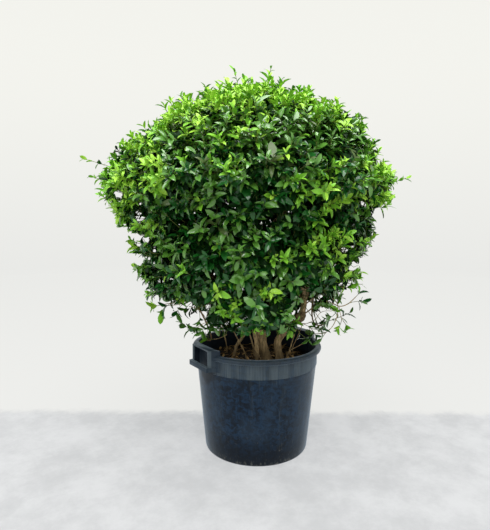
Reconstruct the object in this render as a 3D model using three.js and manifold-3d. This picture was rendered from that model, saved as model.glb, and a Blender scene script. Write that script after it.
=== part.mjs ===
// A clipped many-stemmed shrub in a round nursery pot with two moulded handles.
// Millimetres, +Z up. The origin is the centre of the pot's flat underside, and the handles lie on X.
import * as THREE from "three";
import { mergeVertices } from "three/addons/utils/BufferGeometryUtils.js";
import Module from "manifold-3d";

const wasm = await Module();
wasm.setup();

// Pot
const POT_HEIGHT = 340;
const BASE_RADIUS = 168;
const BASE_EDGE = 6;
const COLLAR_RADIUS = 197;
const COLLAR_HEIGHT = 46;
const COLLAR_STEP = 2;
const LIP_RADIUS = 210;
const LIP_HEIGHT = 14;
const LIP_ROUND = 4;
const POT_WALL = 3.5;
const POT_FLOOR = 5;
const POT_SIDES = 48;
const DRAIN_HOLES = 6;
const DRAIN_RADIUS = 9;
const DRAIN_CIRCLE = 128;

// Pot handles: two cheeks, a raised flange above them, and a grip bar across a flat recess in the wall
const HANDLE_RISE = 16;
const HANDLE_DROP = 48;
const GRIP_HALF_LENGTH = 42;
const RECESS_REACH = 192;
const CHEEK_REACH = 213.5;
const CHEEK_EDGE = 7;
const CHEEK_ROOT = 0.86;
const GUSSET_LENGTH = 18;
const FLANGE_THICKNESS = 3.5;
const BAR_REACH = 223;
const BAR_THICKNESS = 9.5;
const BAR_HEIGHT = 15;
const BAR_OVERHANG = 10;

// Soil
const SOIL_LEVEL = 285;
const CLEARANCE = 0.3;

// How far the plant's front, its own -Y, is turned from the pot's
const PLANT_TURN = -35;

// Stems: the points of each path from the soil up, its radius at the foot and where it enters
// its mass of foliage, and how much it spreads at the roots
const STEMS = [
  {
    name: "trunk",
    leads: "foliage_top",
    foot: 15.5,
    tip: 4.5,
    flare: 0.42,
    path: [
      [33, -20, 285],
      [24, -20, 322],
      [8, -18, 370],
      [-14, -8, 450],
      [-30, 2, 560],
      [-22, -2, 700],
      [-27, 4, 840],
      [-25, 0, 940],
    ],
  },
  {
    name: "stem_right",
    leads: "foliage_upper_front_right",
    foot: 13,
    tip: 4.5,
    flare: 0.34,
    path: [
      [76, -20, 285],
      [70, -20, 318],
      [68, -20, 350],
      [90, -18, 378],
      [118, -16, 406],
      [142, -16, 434],
      [152, -20, 490],
      [146, -34, 570],
    ],
  },
  {
    name: "stem_left",
    leads: "foliage_lower_left",
    foot: 5.5,
    tip: 3.6,
    flare: 0.3,
    path: [
      [-76, 12, 285],
      [-66, 12, 325],
      [-38, 12, 374],
      [-66, 8, 410],
      [-96, 0, 470],
    ],
  },
  {
    name: "stem_front",
    leads: "foliage_upper_front",
    foot: 7,
    tip: 4,
    flare: 0.3,
    path: [
      [0, -52, 285],
      [-2, -56, 345],
      [-16, -78, 430],
      [-22, -96, 540],
    ],
  },
  {
    name: "stem_back",
    leads: "foliage_upper_back",
    foot: 11,
    tip: 4.5,
    flare: 0.36,
    path: [
      [20, 48, 285],
      [26, 56, 330],
      [16, 78, 420],
      [4, 96, 540],
    ],
  },
];
const ROOT_LOBES = 3;
const ROOT_LOBE_DEPTH = 0.28;
const BOUGH_FOOT_SHARE = 0.68;
const BOUGH_TIP_RADIUS = 3.4;

// Masses of foliage: the top, and two rings of six under it. Each has a bearing round the crown's axis.
// A mass that no stem leads to hangs on a bough, which leaves a stem at a height.
const RINGS = {
  top: { radius: 0, height: 1046 },
  upper: { radius: 296, height: 876 },
  lower: { radius: 254, height: 606 },
};
const MASSES = [
  { name: "foliage_top", ring: "top", bearing: 0 },
  { name: "foliage_upper_front", ring: "upper", bearing: 270 },
  { name: "foliage_upper_front_right", ring: "upper", bearing: 330 },
  { name: "foliage_upper_back_right", ring: "upper", bearing: 30, bough: ["trunk", 610] },
  { name: "foliage_upper_back", ring: "upper", bearing: 90 },
  { name: "foliage_upper_back_left", ring: "upper", bearing: 150, bough: ["trunk", 650] },
  { name: "foliage_upper_front_left", ring: "upper", bearing: 210, bough: ["trunk", 520] },
  { name: "foliage_lower_front_right", ring: "lower", bearing: 300, bough: ["stem_right", 500] },
  { name: "foliage_lower_right", ring: "lower", bearing: 0, bough: ["stem_right", 440] },
  { name: "foliage_lower_back_right", ring: "lower", bearing: 60, bough: ["stem_back", 430] },
  { name: "foliage_lower_back_left", ring: "lower", bearing: 120, bough: ["stem_back", 500] },
  { name: "foliage_lower_left", ring: "lower", bearing: 180 },
  { name: "foliage_lower_front_left", ring: "lower", bearing: 240, bough: ["stem_front", 420] },
];
const MASS_GAP = 1.2;

// Crown: its clipped outline from the underside to the top, as radius from the crown's axis and height
const CROWN_OFFSET = -25;
const CROWN_OUTLINE = [
  [95, 408],
  [200, 388],
  [262, 428],
  [318, 488],
  [352, 570],
  [386, 660],
  [406, 745],
  [440, 808],
  [461, 868],
  [425, 940],
  [350, 1036],
  [232, 1108],
  [110, 1146],
  [0, 1156],
];
// The bare inside of the crown, which the boughs cross
const HOLLOW_OUTLINE = [
  [196, 380],
  [200, 470],
  [214, 600],
  [228, 740],
  [192, 880],
  [96, 962],
  [0, 976],
];
const CORE_INSET = 34;
const CORE_SKIRT = 560;
const CORE_BOTTOM = [212, 442];
const CORE_TOP = 0.985;
const CORE_RINGS = 7;
const CORE_SIDES = 22;

// Shoots and leaves
const SHOOT_SEED = 11;
const SHOOT_COUNT = 176;
const SHOOT_LEAVES = 3;
const SHOOT_INSET = 64;
const SHOOT_UNEVENNESS = 26;
const TWIG_BASE_RADIUS = 4;
const TWIG_TIP_RADIUS = 2.2;
const LEAF_LENGTH = 90;
const LEAF_WIDTH = 42;
const LEAF_THICKNESS = 2.6;
const LEAF_FOLD = 4;
const LEAF_SUNK = 5;
const LEAF_SPACING = 9;
const LEAF_PITCH = 16;
const LEAF_PITCH_STEP = 19;
// How far back of its tip a shoot starts to point out of the crown, as a share of its reach
const TWIG_BEND = 0.42;
const TWIG_STEP = 90;
const GOLDEN_ANGLE = Math.PI * (3 - Math.sqrt(5));
const LIMB_CLEARANCE = 4;
const LOWEST_LEAF = POT_HEIGHT + HANDLE_RISE + 8;
// The crown is open at its lower right, where a bough shows against the light
const OPEN_SPOT = { centre: [205, -70, 425], radius: 95 };
// Long shoots that escaped the shears, by the place of their tips, and how far under them they aim from
const ESCAPED_LIFT = 160;
const ESCAPED_SHOOTS = [
  [34, -60, 1192],
  [-74, -60, 1180],
  [110, 120, 1150],
  [-546, -20, 930],
  [-505, -60, 870],
  [452, -40, 872],
  [-60, 470, 905],
  [330, 330, 880],
  [-392, 10, 640],
  [286, -52, 448],
  [-244, -30, 408],
];

const finish = {
  pot: new THREE.MeshStandardMaterial({ color: 0x2b323c, roughness: 0.55, metalness: 0 }),
  soil: new THREE.MeshStandardMaterial({ color: 0x2e231a, roughness: 0.95, metalness: 0 }),
  bark: new THREE.MeshStandardMaterial({ color: 0x7d664a, roughness: 0.85, metalness: 0 }),
  leaf: new THREE.MeshStandardMaterial({ color: 0x3f7a22, roughness: 0.45, metalness: 0 }),
};

const vec = (x, y, z) => new THREE.Vector3(x, y, z);
const { degToRad, radToDeg, lerp, clamp } = THREE.MathUtils;

// Seeded random numbers from 0 to 1
function makeRandom(seed) {
  let state = seed >>> 0;
  return () => {
    state = (Math.imul(state, 1664525) + 1013904223) >>> 0;
    return state / 4294967296;
  };
}

// Solids

const WELD = 0.02;

function solidOf(geometry) {
  const bare = geometry.clone();
  bare.deleteAttribute("normal");
  bare.deleteAttribute("uv");
  const merged = mergeVertices(bare, 1e-3);
  const corners = merged.index.array;
  const faces = [];
  for (let i = 0; i < corners.length; i += 3) {
    const [a, b, c] = corners.slice(i, i + 3);
    if (a !== b && b !== c && c !== a) faces.push(a, b, c);
  }
  return new wasm.Manifold(
    new wasm.Mesh({
      numProp: 3,
      vertProperties: merged.attributes.position.array,
      triVerts: new Uint32Array(faces),
    }),
  );
}

function join(geometries) {
  return wasm.Manifold.union(geometries.map(solidOf));
}

// The largest of a solid's separate bodies, without loose scraps or corners closer than the weld
function mainBody(solid) {
  const bodies = solid.simplify(WELD).decompose();
  return bodies.reduce((best, body) => (body.volume() > best.volume() ? body : best));
}

function nodeMesh(name, solid, material) {
  const { vertProperties, triVerts } = mainBody(solid).getMesh();
  const geometry = new THREE.BufferGeometry();
  geometry.setAttribute("position", new THREE.BufferAttribute(vertProperties, 3));
  geometry.setIndex(new THREE.BufferAttribute(triVerts, 1));
  geometry.computeVertexNormals();
  const mesh = new THREE.Mesh(geometry, material);
  mesh.name = name;
  return mesh;
}

// A body turned about Z from (radius, height) points, listed up its outside
function turned(profile, sides) {
  const points = profile.map(([r, z]) => new THREE.Vector2(r, z));
  return new THREE.LatheGeometry(points, sides).rotateX(Math.PI / 2);
}

function block([x0, x1], [y0, y1], [z0, z1]) {
  const box = new THREE.BoxGeometry(x1 - x0, y1 - y0, z1 - z0);
  return box.translate((x0 + x1) / 2, (y0 + y1) / 2, (z0 + z1) / 2);
}

// Pot

const COLLAR_BOTTOM = POT_HEIGHT - LIP_HEIGHT - COLLAR_HEIGHT;
const HANDLE_TOP = POT_HEIGHT + HANDLE_RISE;
const HANDLE_BOTTOM = POT_HEIGHT - HANDLE_DROP;
const CHEEK_OUTER = GRIP_HALF_LENGTH + CHEEK_EDGE;

// Outer radius of the tapering wall under the collar
function wallRadius(z) {
  return lerp(BASE_RADIUS, COLLAR_RADIUS - COLLAR_STEP, z / COLLAR_BOTTOM);
}

function potOutside() {
  return turned(
    [
      [0, 0],
      [BASE_RADIUS - BASE_EDGE, 0],
      [BASE_RADIUS - BASE_EDGE * 0.25, BASE_EDGE * 0.3],
      [wallRadius(BASE_EDGE), BASE_EDGE],
      [wallRadius(COLLAR_BOTTOM), COLLAR_BOTTOM],
      [COLLAR_RADIUS, COLLAR_BOTTOM + COLLAR_STEP],
      [COLLAR_RADIUS, POT_HEIGHT - LIP_HEIGHT],
      [LIP_RADIUS - LIP_ROUND * 0.5, POT_HEIGHT - LIP_HEIGHT],
      [LIP_RADIUS, POT_HEIGHT - LIP_HEIGHT + LIP_ROUND],
      [LIP_RADIUS, POT_HEIGHT - LIP_ROUND],
      [LIP_RADIUS - LIP_ROUND, POT_HEIGHT],
      [0, POT_HEIGHT],
    ],
    POT_SIDES,
  );
}

// The space inside the pot up to a height, drawn in all round by a gap
function potInside(height, gap) {
  const radiusAt = (z) => wallRadius(z) - POT_WALL - gap;
  const topRadius = COLLAR_RADIUS - POT_WALL - gap;
  const space = turned(
    [
      [0, POT_FLOOR + gap],
      [radiusAt(POT_FLOOR), POT_FLOOR + gap],
      [radiusAt(COLLAR_BOTTOM), COLLAR_BOTTOM],
      [topRadius, COLLAR_BOTTOM + COLLAR_STEP],
      [topRadius, height],
      [0, height],
    ],
    POT_SIDES,
  );
  const recessBack = RECESS_REACH - POT_WALL - gap;
  const recessHalf = GRIP_HALF_LENGTH + POT_WALL + gap;
  const recess = block([recessBack, LIP_RADIUS], [-recessHalf, recessHalf], [POT_HEIGHT / 2, height + 1]);
  return solidOf(space).subtract(join([recess, recess.clone().rotateZ(Math.PI)]));
}

// One side plate of a handle with the gusset that runs it out along the wall
function cheek(side, reach, low, high) {
  const gussetEnd = CHEEK_OUTER + GUSSET_LENGTH;
  const plan = new THREE.Shape();
  plan.moveTo(RECESS_REACH - POT_WALL, GRIP_HALF_LENGTH);
  plan.lineTo(reach, GRIP_HALF_LENGTH);
  plan.lineTo(reach, CHEEK_OUTER);
  plan.lineTo(Math.sqrt(COLLAR_RADIUS ** 2 - gussetEnd ** 2) - 1, gussetEnd);
  plan.lineTo(COLLAR_RADIUS * CHEEK_ROOT, CHEEK_OUTER);
  plan.closePath();
  const plate = new THREE.ExtrudeGeometry(plan, { depth: high - low, bevelEnabled: false });
  if (side > 0) return plate.translate(0, 0, low);
  return plate.rotateX(Math.PI).translate(0, 0, high);
}

// The handle on the pot's +X side, before the pot's inside is cut from it
function handleGeometries() {
  const barTop = HANDLE_BOTTOM + BAR_HEIGHT;
  const barHalf = GRIP_HALF_LENGTH + BAR_OVERHANG;
  const flangeReach = [RECESS_REACH - POT_WALL, CHEEK_REACH];
  return [
    block(flangeReach, [-CHEEK_OUTER, CHEEK_OUTER], [HANDLE_TOP - FLANGE_THICKNESS, HANDLE_TOP]),
    block([BAR_REACH - BAR_THICKNESS, BAR_REACH], [-barHalf, barHalf], [HANDLE_BOTTOM, barTop]),
    cheek(1, CHEEK_REACH, HANDLE_BOTTOM, HANDLE_TOP),
    cheek(-1, CHEEK_REACH, HANDLE_BOTTOM, HANDLE_TOP),
    cheek(1, BAR_REACH - 0.5, HANDLE_BOTTOM, barTop),
    cheek(-1, BAR_REACH - 0.5, HANDLE_BOTTOM, barTop),
  ];
}

// The wall is raised behind a handle and flat between the cheeks, where it has no lip
function makePot() {
  const raisedHalf = CHEEK_OUTER + GUSSET_LENGTH * 0.6;
  const raisedRing = turned(
    [
      [0, POT_HEIGHT - 1],
      [COLLAR_RADIUS, POT_HEIGHT - 1],
      [COLLAR_RADIUS, HANDLE_TOP],
      [0, HANDLE_TOP],
    ],
    POT_SIDES,
  );
  const raisedSides = block([-LIP_RADIUS, LIP_RADIUS], [-raisedHalf, raisedHalf], [0, HANDLE_TOP + 1]);
  const recessDepth = [RECESS_REACH, LIP_RADIUS + 5];
  const recessHeight = [POT_HEIGHT / 2, HANDLE_TOP + 1];
  const recess = block(recessDepth, [-GRIP_HALF_LENGTH, GRIP_HALF_LENGTH], recessHeight);
  const drills = [];
  for (let i = 0; i < DRAIN_HOLES; i++) {
    const drill = new THREE.CylinderGeometry(DRAIN_RADIUS, DRAIN_RADIUS, POT_FLOOR * 4, 10);
    const bearing = (2 * Math.PI * (i + 0.5)) / DRAIN_HOLES;
    drills.push(drill.rotateX(Math.PI / 2).translate(DRAIN_CIRCLE, 0, 0).rotateZ(bearing));
  }
  return solidOf(potOutside())
    .add(solidOf(raisedRing).intersect(solidOf(raisedSides)))
    .subtract(join([recess, recess.clone().rotateZ(Math.PI)]))
    .add(join(handleGeometries()))
    .add(join(handleGeometries().map((geometry) => geometry.rotateZ(Math.PI))))
    .subtract(potInside(HANDLE_TOP + 5, 0))
    .subtract(join(drills));
}

// Limbs

const LIMB_STEP = 38;
const STEM_SIDES = 8;
const BOUGH_SIDES = 6;
const BURIED = 22;
const ENTRY_MARGIN = 8;
const SAMPLE_STEP = 9;
const ENTRY_STEP = 0.005;
const EARLIEST_ENTRY = 0.2;
// A limb's way to a mass: how far below the hub it aims from, how much of its end is straight, its points
const WAY_RISE = 0.45;
const WAY_ARRIVAL = 0.34;
const WAY_POINTS = 7;
const STEM_STRAIGHTNESS = 0.3;
const BOUGH_STRAIGHTNESS = 0.2;
const STEM_TAPER = 0.72;
const FLARE_HEIGHT = 1.3;

// A tapering limb along a curve: a cylinder whose rings are laid along it
function limbGeometry(curve, radiusAt, sides, steps) {
  const { normals, binormals } = curve.computeFrenetFrames(steps);
  const limb = new THREE.CylinderGeometry(1, 1, 1, sides, steps);
  const corners = limb.attributes.position;
  const corner = vec(0, 0, 0);
  for (let i = 0; i < corners.count; i++) {
    corner.fromBufferAttribute(corners, i);
    const ring = Math.round((corner.y + 0.5) * steps);
    const radius = radiusAt(ring / steps, Math.atan2(corner.z, corner.x));
    const place = curve.getPointAt(ring / steps);
    place.addScaledVector(normals[ring], corner.x * radius);
    place.addScaledVector(binormals[ring], -corner.z * radius);
    corners.setXYZ(i, place.x, place.y, place.z);
  }
  return limb;
}

function around(bearing, radius, height) {
  const angle = degToRad(bearing);
  return vec(CROWN_OFFSET + radius * Math.cos(angle), radius * Math.sin(angle), height);
}

// How far a point lies inside the bare hollow of the crown
const hollowOutline = HOLLOW_OUTLINE.map(([r, z]) => new THREE.Vector2(r, z));
function depthInHollow(point) {
  const flat = new THREE.Vector2(Math.hypot(point.x - CROWN_OFFSET, point.y), point.z);
  let nearest = Infinity;
  let inside = 1;
  for (let i = 1; i < hollowOutline.length; i++) {
    const start = hollowOutline[i - 1];
    const along = hollowOutline[i].clone().sub(start);
    const share = clamp(flat.clone().sub(start).dot(along) / along.lengthSq(), 0, 1);
    const away = flat.clone().sub(start).addScaledVector(along, -share);
    if (away.length() >= nearest) continue;
    nearest = away.length();
    inside = along.cross(away) >= 0 ? 1 : -1;
  }
  return inside * nearest;
}

// A limb that ends in a mass of foliage, and the share of its length at which it enters the mass
class Limb {
  constructor(name, points, radiusAt, sides) {
    this.name = name;
    this.curve = new THREE.CatmullRomCurve3(points, false, "centripetal");
    this.length = this.curve.getLength();
    this.radiusAt = radiusAt;
    this.sides = sides;
    this.entry = 1;
    while (this.entry > EARLIEST_ENTRY && depthInHollow(this.point(this.entry)) < ENTRY_MARGIN) {
      this.entry -= ENTRY_STEP;
    }
  }

  point(share) {
    return this.curve.getPointAt(clamp(share, 0, 1));
  }

  radius(share, angle = 0) {
    return this.radiusAt(share * this.length, this.length, angle);
  }

  // The whole limb as a solid, made thicker all round by a swelling
  solid(swelling = 0) {
    const radiusAt = (share, angle) => this.radius(share, angle) + swelling;
    return solidOf(limbGeometry(this.curve, radiusAt, this.sides, Math.round(this.length / LIMB_STEP)));
  }

  // The limb outside its mass, and the rest of it inside, cut across with a gap where it enters
  bare() {
    const along = this.curve.getTangentAt(this.entry);
    const reach = along.dot(this.point(this.entry));
    return this.solid().trimByPlane(along.negate().toArray(), CLEARANCE / 2 - reach);
  }

  inner() {
    const along = this.curve.getTangentAt(this.entry);
    return this.solid().trimByPlane(along.toArray(), along.dot(this.point(this.entry)) + CLEARANCE / 2);
  }

  shareAtHeight(z) {
    let share = 0;
    while (share < this.entry && this.point(share).z < z) share += ENTRY_STEP / 2;
    return share;
  }

  samples(from, to) {
    const count = Math.ceil((this.length * (to - from)) / SAMPLE_STEP);
    return Array.from({ length: count + 1 }, (_, i) => {
      const share = lerp(from, to, i / count);
      return { centre: this.point(share), radius: this.radius(share) };
    });
  }
}

// Points of the way from a limb's place and heading to the hub of a mass, which it meets from below
function wayTo(hub, start, heading, straightness) {
  const reach = start.distanceTo(hub);
  const arrival = hub.clone().sub(vec(CROWN_OFFSET, 0, hub.z - reach * WAY_RISE)).normalize();
  const bend = new THREE.CubicBezierCurve3(
    start,
    start.clone().addScaledVector(heading, reach * straightness),
    hub.clone().addScaledVector(arrival, -reach * WAY_ARRIVAL),
    hub,
  );
  return bend.getSpacedPoints(WAY_POINTS);
}

function makeStem({ name, leads, path, foot, tip, flare }) {
  const rise = path.map((place) => vec(...place));
  const buried = rise[0].clone().setZ(SOIL_LEVEL - BURIED);
  const last = rise.at(-1);
  const heading = last.clone().sub(rise.at(-2)).normalize();
  const radiusAt = (along, length, angle) => {
    const height = Math.max(0, along - BURIED);
    const spread = Math.exp(-height / (foot * FLARE_HEIGHT));
    const lobes = 1 + ROOT_LOBE_DEPTH * Math.cos(ROOT_LOBES * angle + foot) * spread;
    return lerp(foot, tip, Math.pow(along / length, STEM_TAPER)) * (1 + flare * spread) * lobes;
  };
  const way = wayTo(masses.get(leads).hub, last, heading, STEM_STRAIGHTNESS);
  const points = [buried, ...rise, ...way.slice(1)];
  return new Limb(name, points, radiusAt, STEM_SIDES);
}

function makeBough({ name, hub, bough: [parentName, height] }) {
  const parent = stems.get(parentName);
  const share = parent.shareAtHeight(height);
  const foot = parent.radius(share) * BOUGH_FOOT_SHARE;
  const radiusAt = (along, length) => lerp(foot, BOUGH_TIP_RADIUS, along / length);
  const points = wayTo(hub, parent.point(share), parent.curve.getTangentAt(share), BOUGH_STRAIGHTNESS);
  return new Limb(name.replace("foliage", "bough"), points, radiusAt, BOUGH_SIDES);
}

// Crown

const outline = new THREE.SplineCurve(CROWN_OUTLINE.map(([r, z]) => new THREE.Vector2(r, z)));
const OUTLINE_STEPS = 240;
const areaUpTo = [0];
for (let i = 1; i <= OUTLINE_STEPS; i++) {
  const low = outline.getPoint((i - 1) / OUTLINE_STEPS);
  const high = outline.getPoint(i / OUTLINE_STEPS);
  areaUpTo.push(areaUpTo[i - 1] + (low.distanceTo(high) * (low.x + high.x)) / 2);
}

// Radius, height and outward direction on the outline, at a share of the crown's surface from below
function onOutline(share) {
  const area = share * areaUpTo[OUTLINE_STEPS];
  const step = Math.max(1, areaUpTo.findIndex((total) => total >= area));
  const within = (area - areaUpTo[step - 1]) / (areaUpTo[step] - areaUpTo[step - 1]);
  const t = (step - 1 + within) / OUTLINE_STEPS;
  const place = outline.getPoint(t);
  const along = outline.getTangent(t);
  return { radius: Math.max(0, place.x), height: place.y, outwards: along.y, upwards: -along.x };
}

// How far a point lies inside the space of a mass, which ends halfway to each other mass
function depthInSpace(point, mass) {
  let depth = Infinity;
  for (const other of masses.values()) {
    if (other === mass) continue;
    const difference = point.distanceToSquared(other.hub) - point.distanceToSquared(mass.hub);
    depth = Math.min(depth, difference / (2 * mass.hub.distanceTo(other.hub)));
  }
  return depth;
}

function massOf(point) {
  return [...masses.values()].reduce((best, mass) =>
    mass.hub.distanceTo(point) < best.hub.distanceTo(point) ? mass : best,
  );
}

// The dense inside of the crown: a thick shell, inset from the outline, round the bare hollow
function makeCoreShell() {
  let first = 0;
  while (onOutline(first).height < CORE_SKIRT) first += ENTRY_STEP;
  const rings = [];
  for (let i = 0; i <= CORE_RINGS; i++) {
    const { radius, height, outwards, upwards } = onOutline(lerp(first, CORE_TOP, i / CORE_RINGS));
    rings.push([radius - outwards * CORE_INSET, height - upwards * CORE_INSET]);
  }
  const profile = [[0, CORE_BOTTOM[1]], CORE_BOTTOM, ...rings, [0, rings.at(-1)[1] + 4]];
  const shell = solidOf(turned(profile, CORE_SIDES));
  const hollow = solidOf(turned([[0, HOLLOW_OUTLINE[0][1]], ...HOLLOW_OUTLINE], CORE_SIDES));
  return shell.subtract(hollow).translate([CROWN_OFFSET, 0, 0]);
}

function cutToSpace(solid, mass) {
  let cut = solid;
  for (const other of masses.values()) {
    if (other === mass) continue;
    const middle = mass.hub.clone().add(other.hub).multiplyScalar(0.5);
    const inwards = mass.hub.clone().sub(other.hub).normalize();
    cut = cut.trimByPlane(inwards.toArray(), inwards.dot(middle) + MASS_GAP / 2);
  }
  return cut;
}

// Shoots and leaves

// Shoots spread evenly over the crown by the golden angle, and the few that escaped the shears
function makeShoots() {
  const random = makeRandom(SHOOT_SEED);
  const openSpot = vec(...OPEN_SPOT.centre);
  const shoots = [];
  for (let i = 0; i < SHOOT_COUNT; i++) {
    const { radius, height, outwards, upwards } = onOutline((i + 0.5) / SHOOT_COUNT);
    const bearing = radToDeg(i * GOLDEN_ANGLE);
    const outward = around(bearing, outwards, upwards).sub(vec(CROWN_OFFSET, 0, 0));
    const drawnIn = SHOOT_INSET - (random() - 0.7) * SHOOT_UNEVENNESS;
    const tip = around(bearing, radius, height).addScaledVector(outward, -drawnIn);
    const draw = random();
    if (tip.distanceTo(openSpot) > OPEN_SPOT.radius) shoots.push({ tip, outward, random: draw });
  }
  for (const place of ESCAPED_SHOOTS) {
    const outward = vec(...place).sub(vec(CROWN_OFFSET, 0, place[2] - ESCAPED_LIFT)).normalize();
    const tip = vec(...place).addScaledVector(outward, -LEAF_LENGTH * 0.92);
    shoots.push({ tip, outward, random: random() });
  }
  return shoots;
}

// An eight-faced leaf from its root, pointing one way with its upper side towards another
function leafGeometry(root, pointing, facing) {
  const across = facing.clone().cross(pointing).normalize();
  const up = pointing.clone().cross(across);
  const leaf = new THREE.OctahedronGeometry(1);
  const corners = leaf.attributes.position;
  for (let i = 0; i < corners.count; i++) {
    const folded = Math.abs(corners.getY(i)) * LEAF_FOLD;
    corners.setZ(i, (corners.getZ(i) * LEAF_THICKNESS) / 2 + folded);
  }
  leaf.scale(LEAF_LENGTH / 2, LEAF_WIDTH / 2, 1).translate(LEAF_LENGTH / 2 - LEAF_SUNK, 0, 0);
  return leaf.applyMatrix4(new THREE.Matrix4().makeBasis(pointing, across, up).setPosition(root));
}

function clearOfLimbs(point, margin) {
  return limbSamples.every(({ centre, radius }) => centre.distanceTo(point) > radius + margin);
}

// The leaves along the end of a twig, turned about it by the golden angle and opening away from its tip
function leavesOf(twig, shoot) {
  const leaves = [];
  for (let i = 0; i < SHOOT_LEAVES; i++) {
    const share = Math.max(0.3, 1 - (i * LEAF_SPACING) / twig.getLength());
    const along = twig.getTangentAt(share);
    const pitch = degToRad(LEAF_PITCH + i * LEAF_PITCH_STEP);
    const side = vec(0.1, 0, 1).cross(along).normalize();
    side.applyAxisAngle(along, shoot.random * 2 * Math.PI + i * GOLDEN_ANGLE);
    const pointing = along.clone().multiplyScalar(Math.cos(pitch)).addScaledVector(side, Math.sin(pitch));
    const facing = along.clone().multiplyScalar(Math.sin(pitch)).addScaledVector(side, -Math.cos(pitch));
    leaves.push(leafGeometry(twig.getPointAt(share), pointing, facing));
  }
  return leaves;
}

function leafFits(leaf, mass) {
  const corners = leaf.attributes.position;
  const cornerAt = (_, i) => vec(0, 0, 0).fromBufferAttribute(corners, i);
  const places = Array.from({ length: corners.count }, cornerAt);
  const middle = vec(0, 0, 0);
  places.forEach((place) => middle.addScaledVector(place, 1 / places.length));
  return places.every(
    (place) =>
      depthInSpace(place, mass) > MASS_GAP &&
      place.z > LOWEST_LEAF &&
      clearOfLimbs(place, LIMB_CLEARANCE) &&
      clearOfLimbs(place.clone().lerp(middle, 0.5), LIMB_CLEARANCE),
  );
}

// A three-sided twig from the mass's stem to a shoot's tip, with its leaves
function shootGeometries(shoot, mass) {
  const { limb } = mass;
  const start = limb.point(lerp(limb.entry, 1, 0.25 + 0.75 * shoot.random));
  const reach = start.distanceTo(shoot.tip);
  const bend = shoot.tip.clone().addScaledVector(shoot.outward, -reach * TWIG_BEND);
  const twig = new THREE.QuadraticBezierCurve3(start, bend, shoot.tip);
  const fits = [0.3, 0.5, 0.7, 0.85, 1].every((share) => {
    const place = twig.getPointAt(share);
    const roomy = depthInSpace(place, mass) > MASS_GAP + TWIG_BASE_RADIUS && place.z > LOWEST_LEAF;
    return roomy && clearOfLimbs(place, LIMB_CLEARANCE + TWIG_BASE_RADIUS);
  });
  if (!fits) return [];
  const radiusAt = (share) => lerp(TWIG_BASE_RADIUS, TWIG_TIP_RADIUS, share);
  const steps = Math.max(2, Math.round(reach / TWIG_STEP));
  const leaves = leavesOf(twig, shoot).filter((leaf) => leafFits(leaf, mass));
  return [limbGeometry(twig, radiusAt, 3, steps), ...leaves];
}

// Assembly

const masses = new Map();
for (const { name, ring, bearing, bough } of MASSES) {
  const { radius, height } = RINGS[ring];
  masses.set(name, { name, bough, hub: around(bearing, radius, height) });
}
const stems = new Map();
for (const stem of STEMS) {
  const limb = makeStem(stem);
  stems.set(stem.name, limb);
  masses.get(stem.leads).limb = limb;
}
for (const mass of masses.values()) mass.limb ??= makeBough(mass);
const limbSamples = [...masses.values()].flatMap(({ limb }) => limb.samples(0, limb.entry));

const plant = new THREE.Group();
plant.rotation.z = degToRad(PLANT_TURN);
for (const limb of stems.values()) {
  const stem = limb.bare().trimByPlane([0, 0, 1], SOIL_LEVEL + CLEARANCE);
  plant.add(nodeMesh(limb.name, stem, finish.bark));
}
for (const { limb, bough } of masses.values()) {
  if (!bough) continue;
  const parent = stems.get(bough[0]);
  plant.add(nodeMesh(limb.name, limb.bare().subtract(parent.solid(CLEARANCE * 1.4)), finish.bark));
}
const coreShell = makeCoreShell();
const shoots = makeShoots();
for (const mass of masses.values()) {
  const { limb, name } = mass;
  const own = shoots.filter((shoot) => massOf(shoot.tip) === mass);
  const growth = own.flatMap((shoot) => shootGeometries(shoot, mass));
  const solid = join(growth).add(cutToSpace(coreShell, mass)).add(limb.inner());
  plant.add(nodeMesh(name, solid, finish.leaf));
}

const topiary = new THREE.Group();
topiary.add(nodeMesh("pot", makePot(), finish.pot));
topiary.add(nodeMesh("soil", potInside(SOIL_LEVEL, CLEARANCE), finish.soil));
topiary.add(plant);

export default topiary;
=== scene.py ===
"""A clipped evergreen shrub in a handled nursery pot: pot, soil, stems, boughs, twigs and leaves."""

import math
from functools import lru_cache

import bpy
import numpy as np
from bpy.props import FloatProperty, FloatVectorProperty, IntProperty, PointerProperty
from mathutils import Matrix, Vector


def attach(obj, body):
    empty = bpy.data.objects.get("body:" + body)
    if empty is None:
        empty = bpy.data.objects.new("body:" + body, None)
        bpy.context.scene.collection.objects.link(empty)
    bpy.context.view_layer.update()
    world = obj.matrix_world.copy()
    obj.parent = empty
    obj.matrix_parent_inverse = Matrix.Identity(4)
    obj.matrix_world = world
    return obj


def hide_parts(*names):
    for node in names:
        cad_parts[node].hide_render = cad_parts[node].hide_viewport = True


bl_info = {
    "name": "Potted Topiary",
    "version": (1, 0, 0),
    "blender": (4, 5, 0),
    "location": "View3D > Sidebar > Topiary",
    "description": "Builds a clipped shrub in a nursery pot on its packed frame",
    "category": "Object",
}

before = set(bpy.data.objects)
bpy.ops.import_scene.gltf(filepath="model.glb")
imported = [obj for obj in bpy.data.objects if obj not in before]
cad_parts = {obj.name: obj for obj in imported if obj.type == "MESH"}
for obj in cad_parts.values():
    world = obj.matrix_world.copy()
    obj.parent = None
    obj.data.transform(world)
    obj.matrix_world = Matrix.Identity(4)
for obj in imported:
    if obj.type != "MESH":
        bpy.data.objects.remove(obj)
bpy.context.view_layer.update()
MM = 0.001

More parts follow.
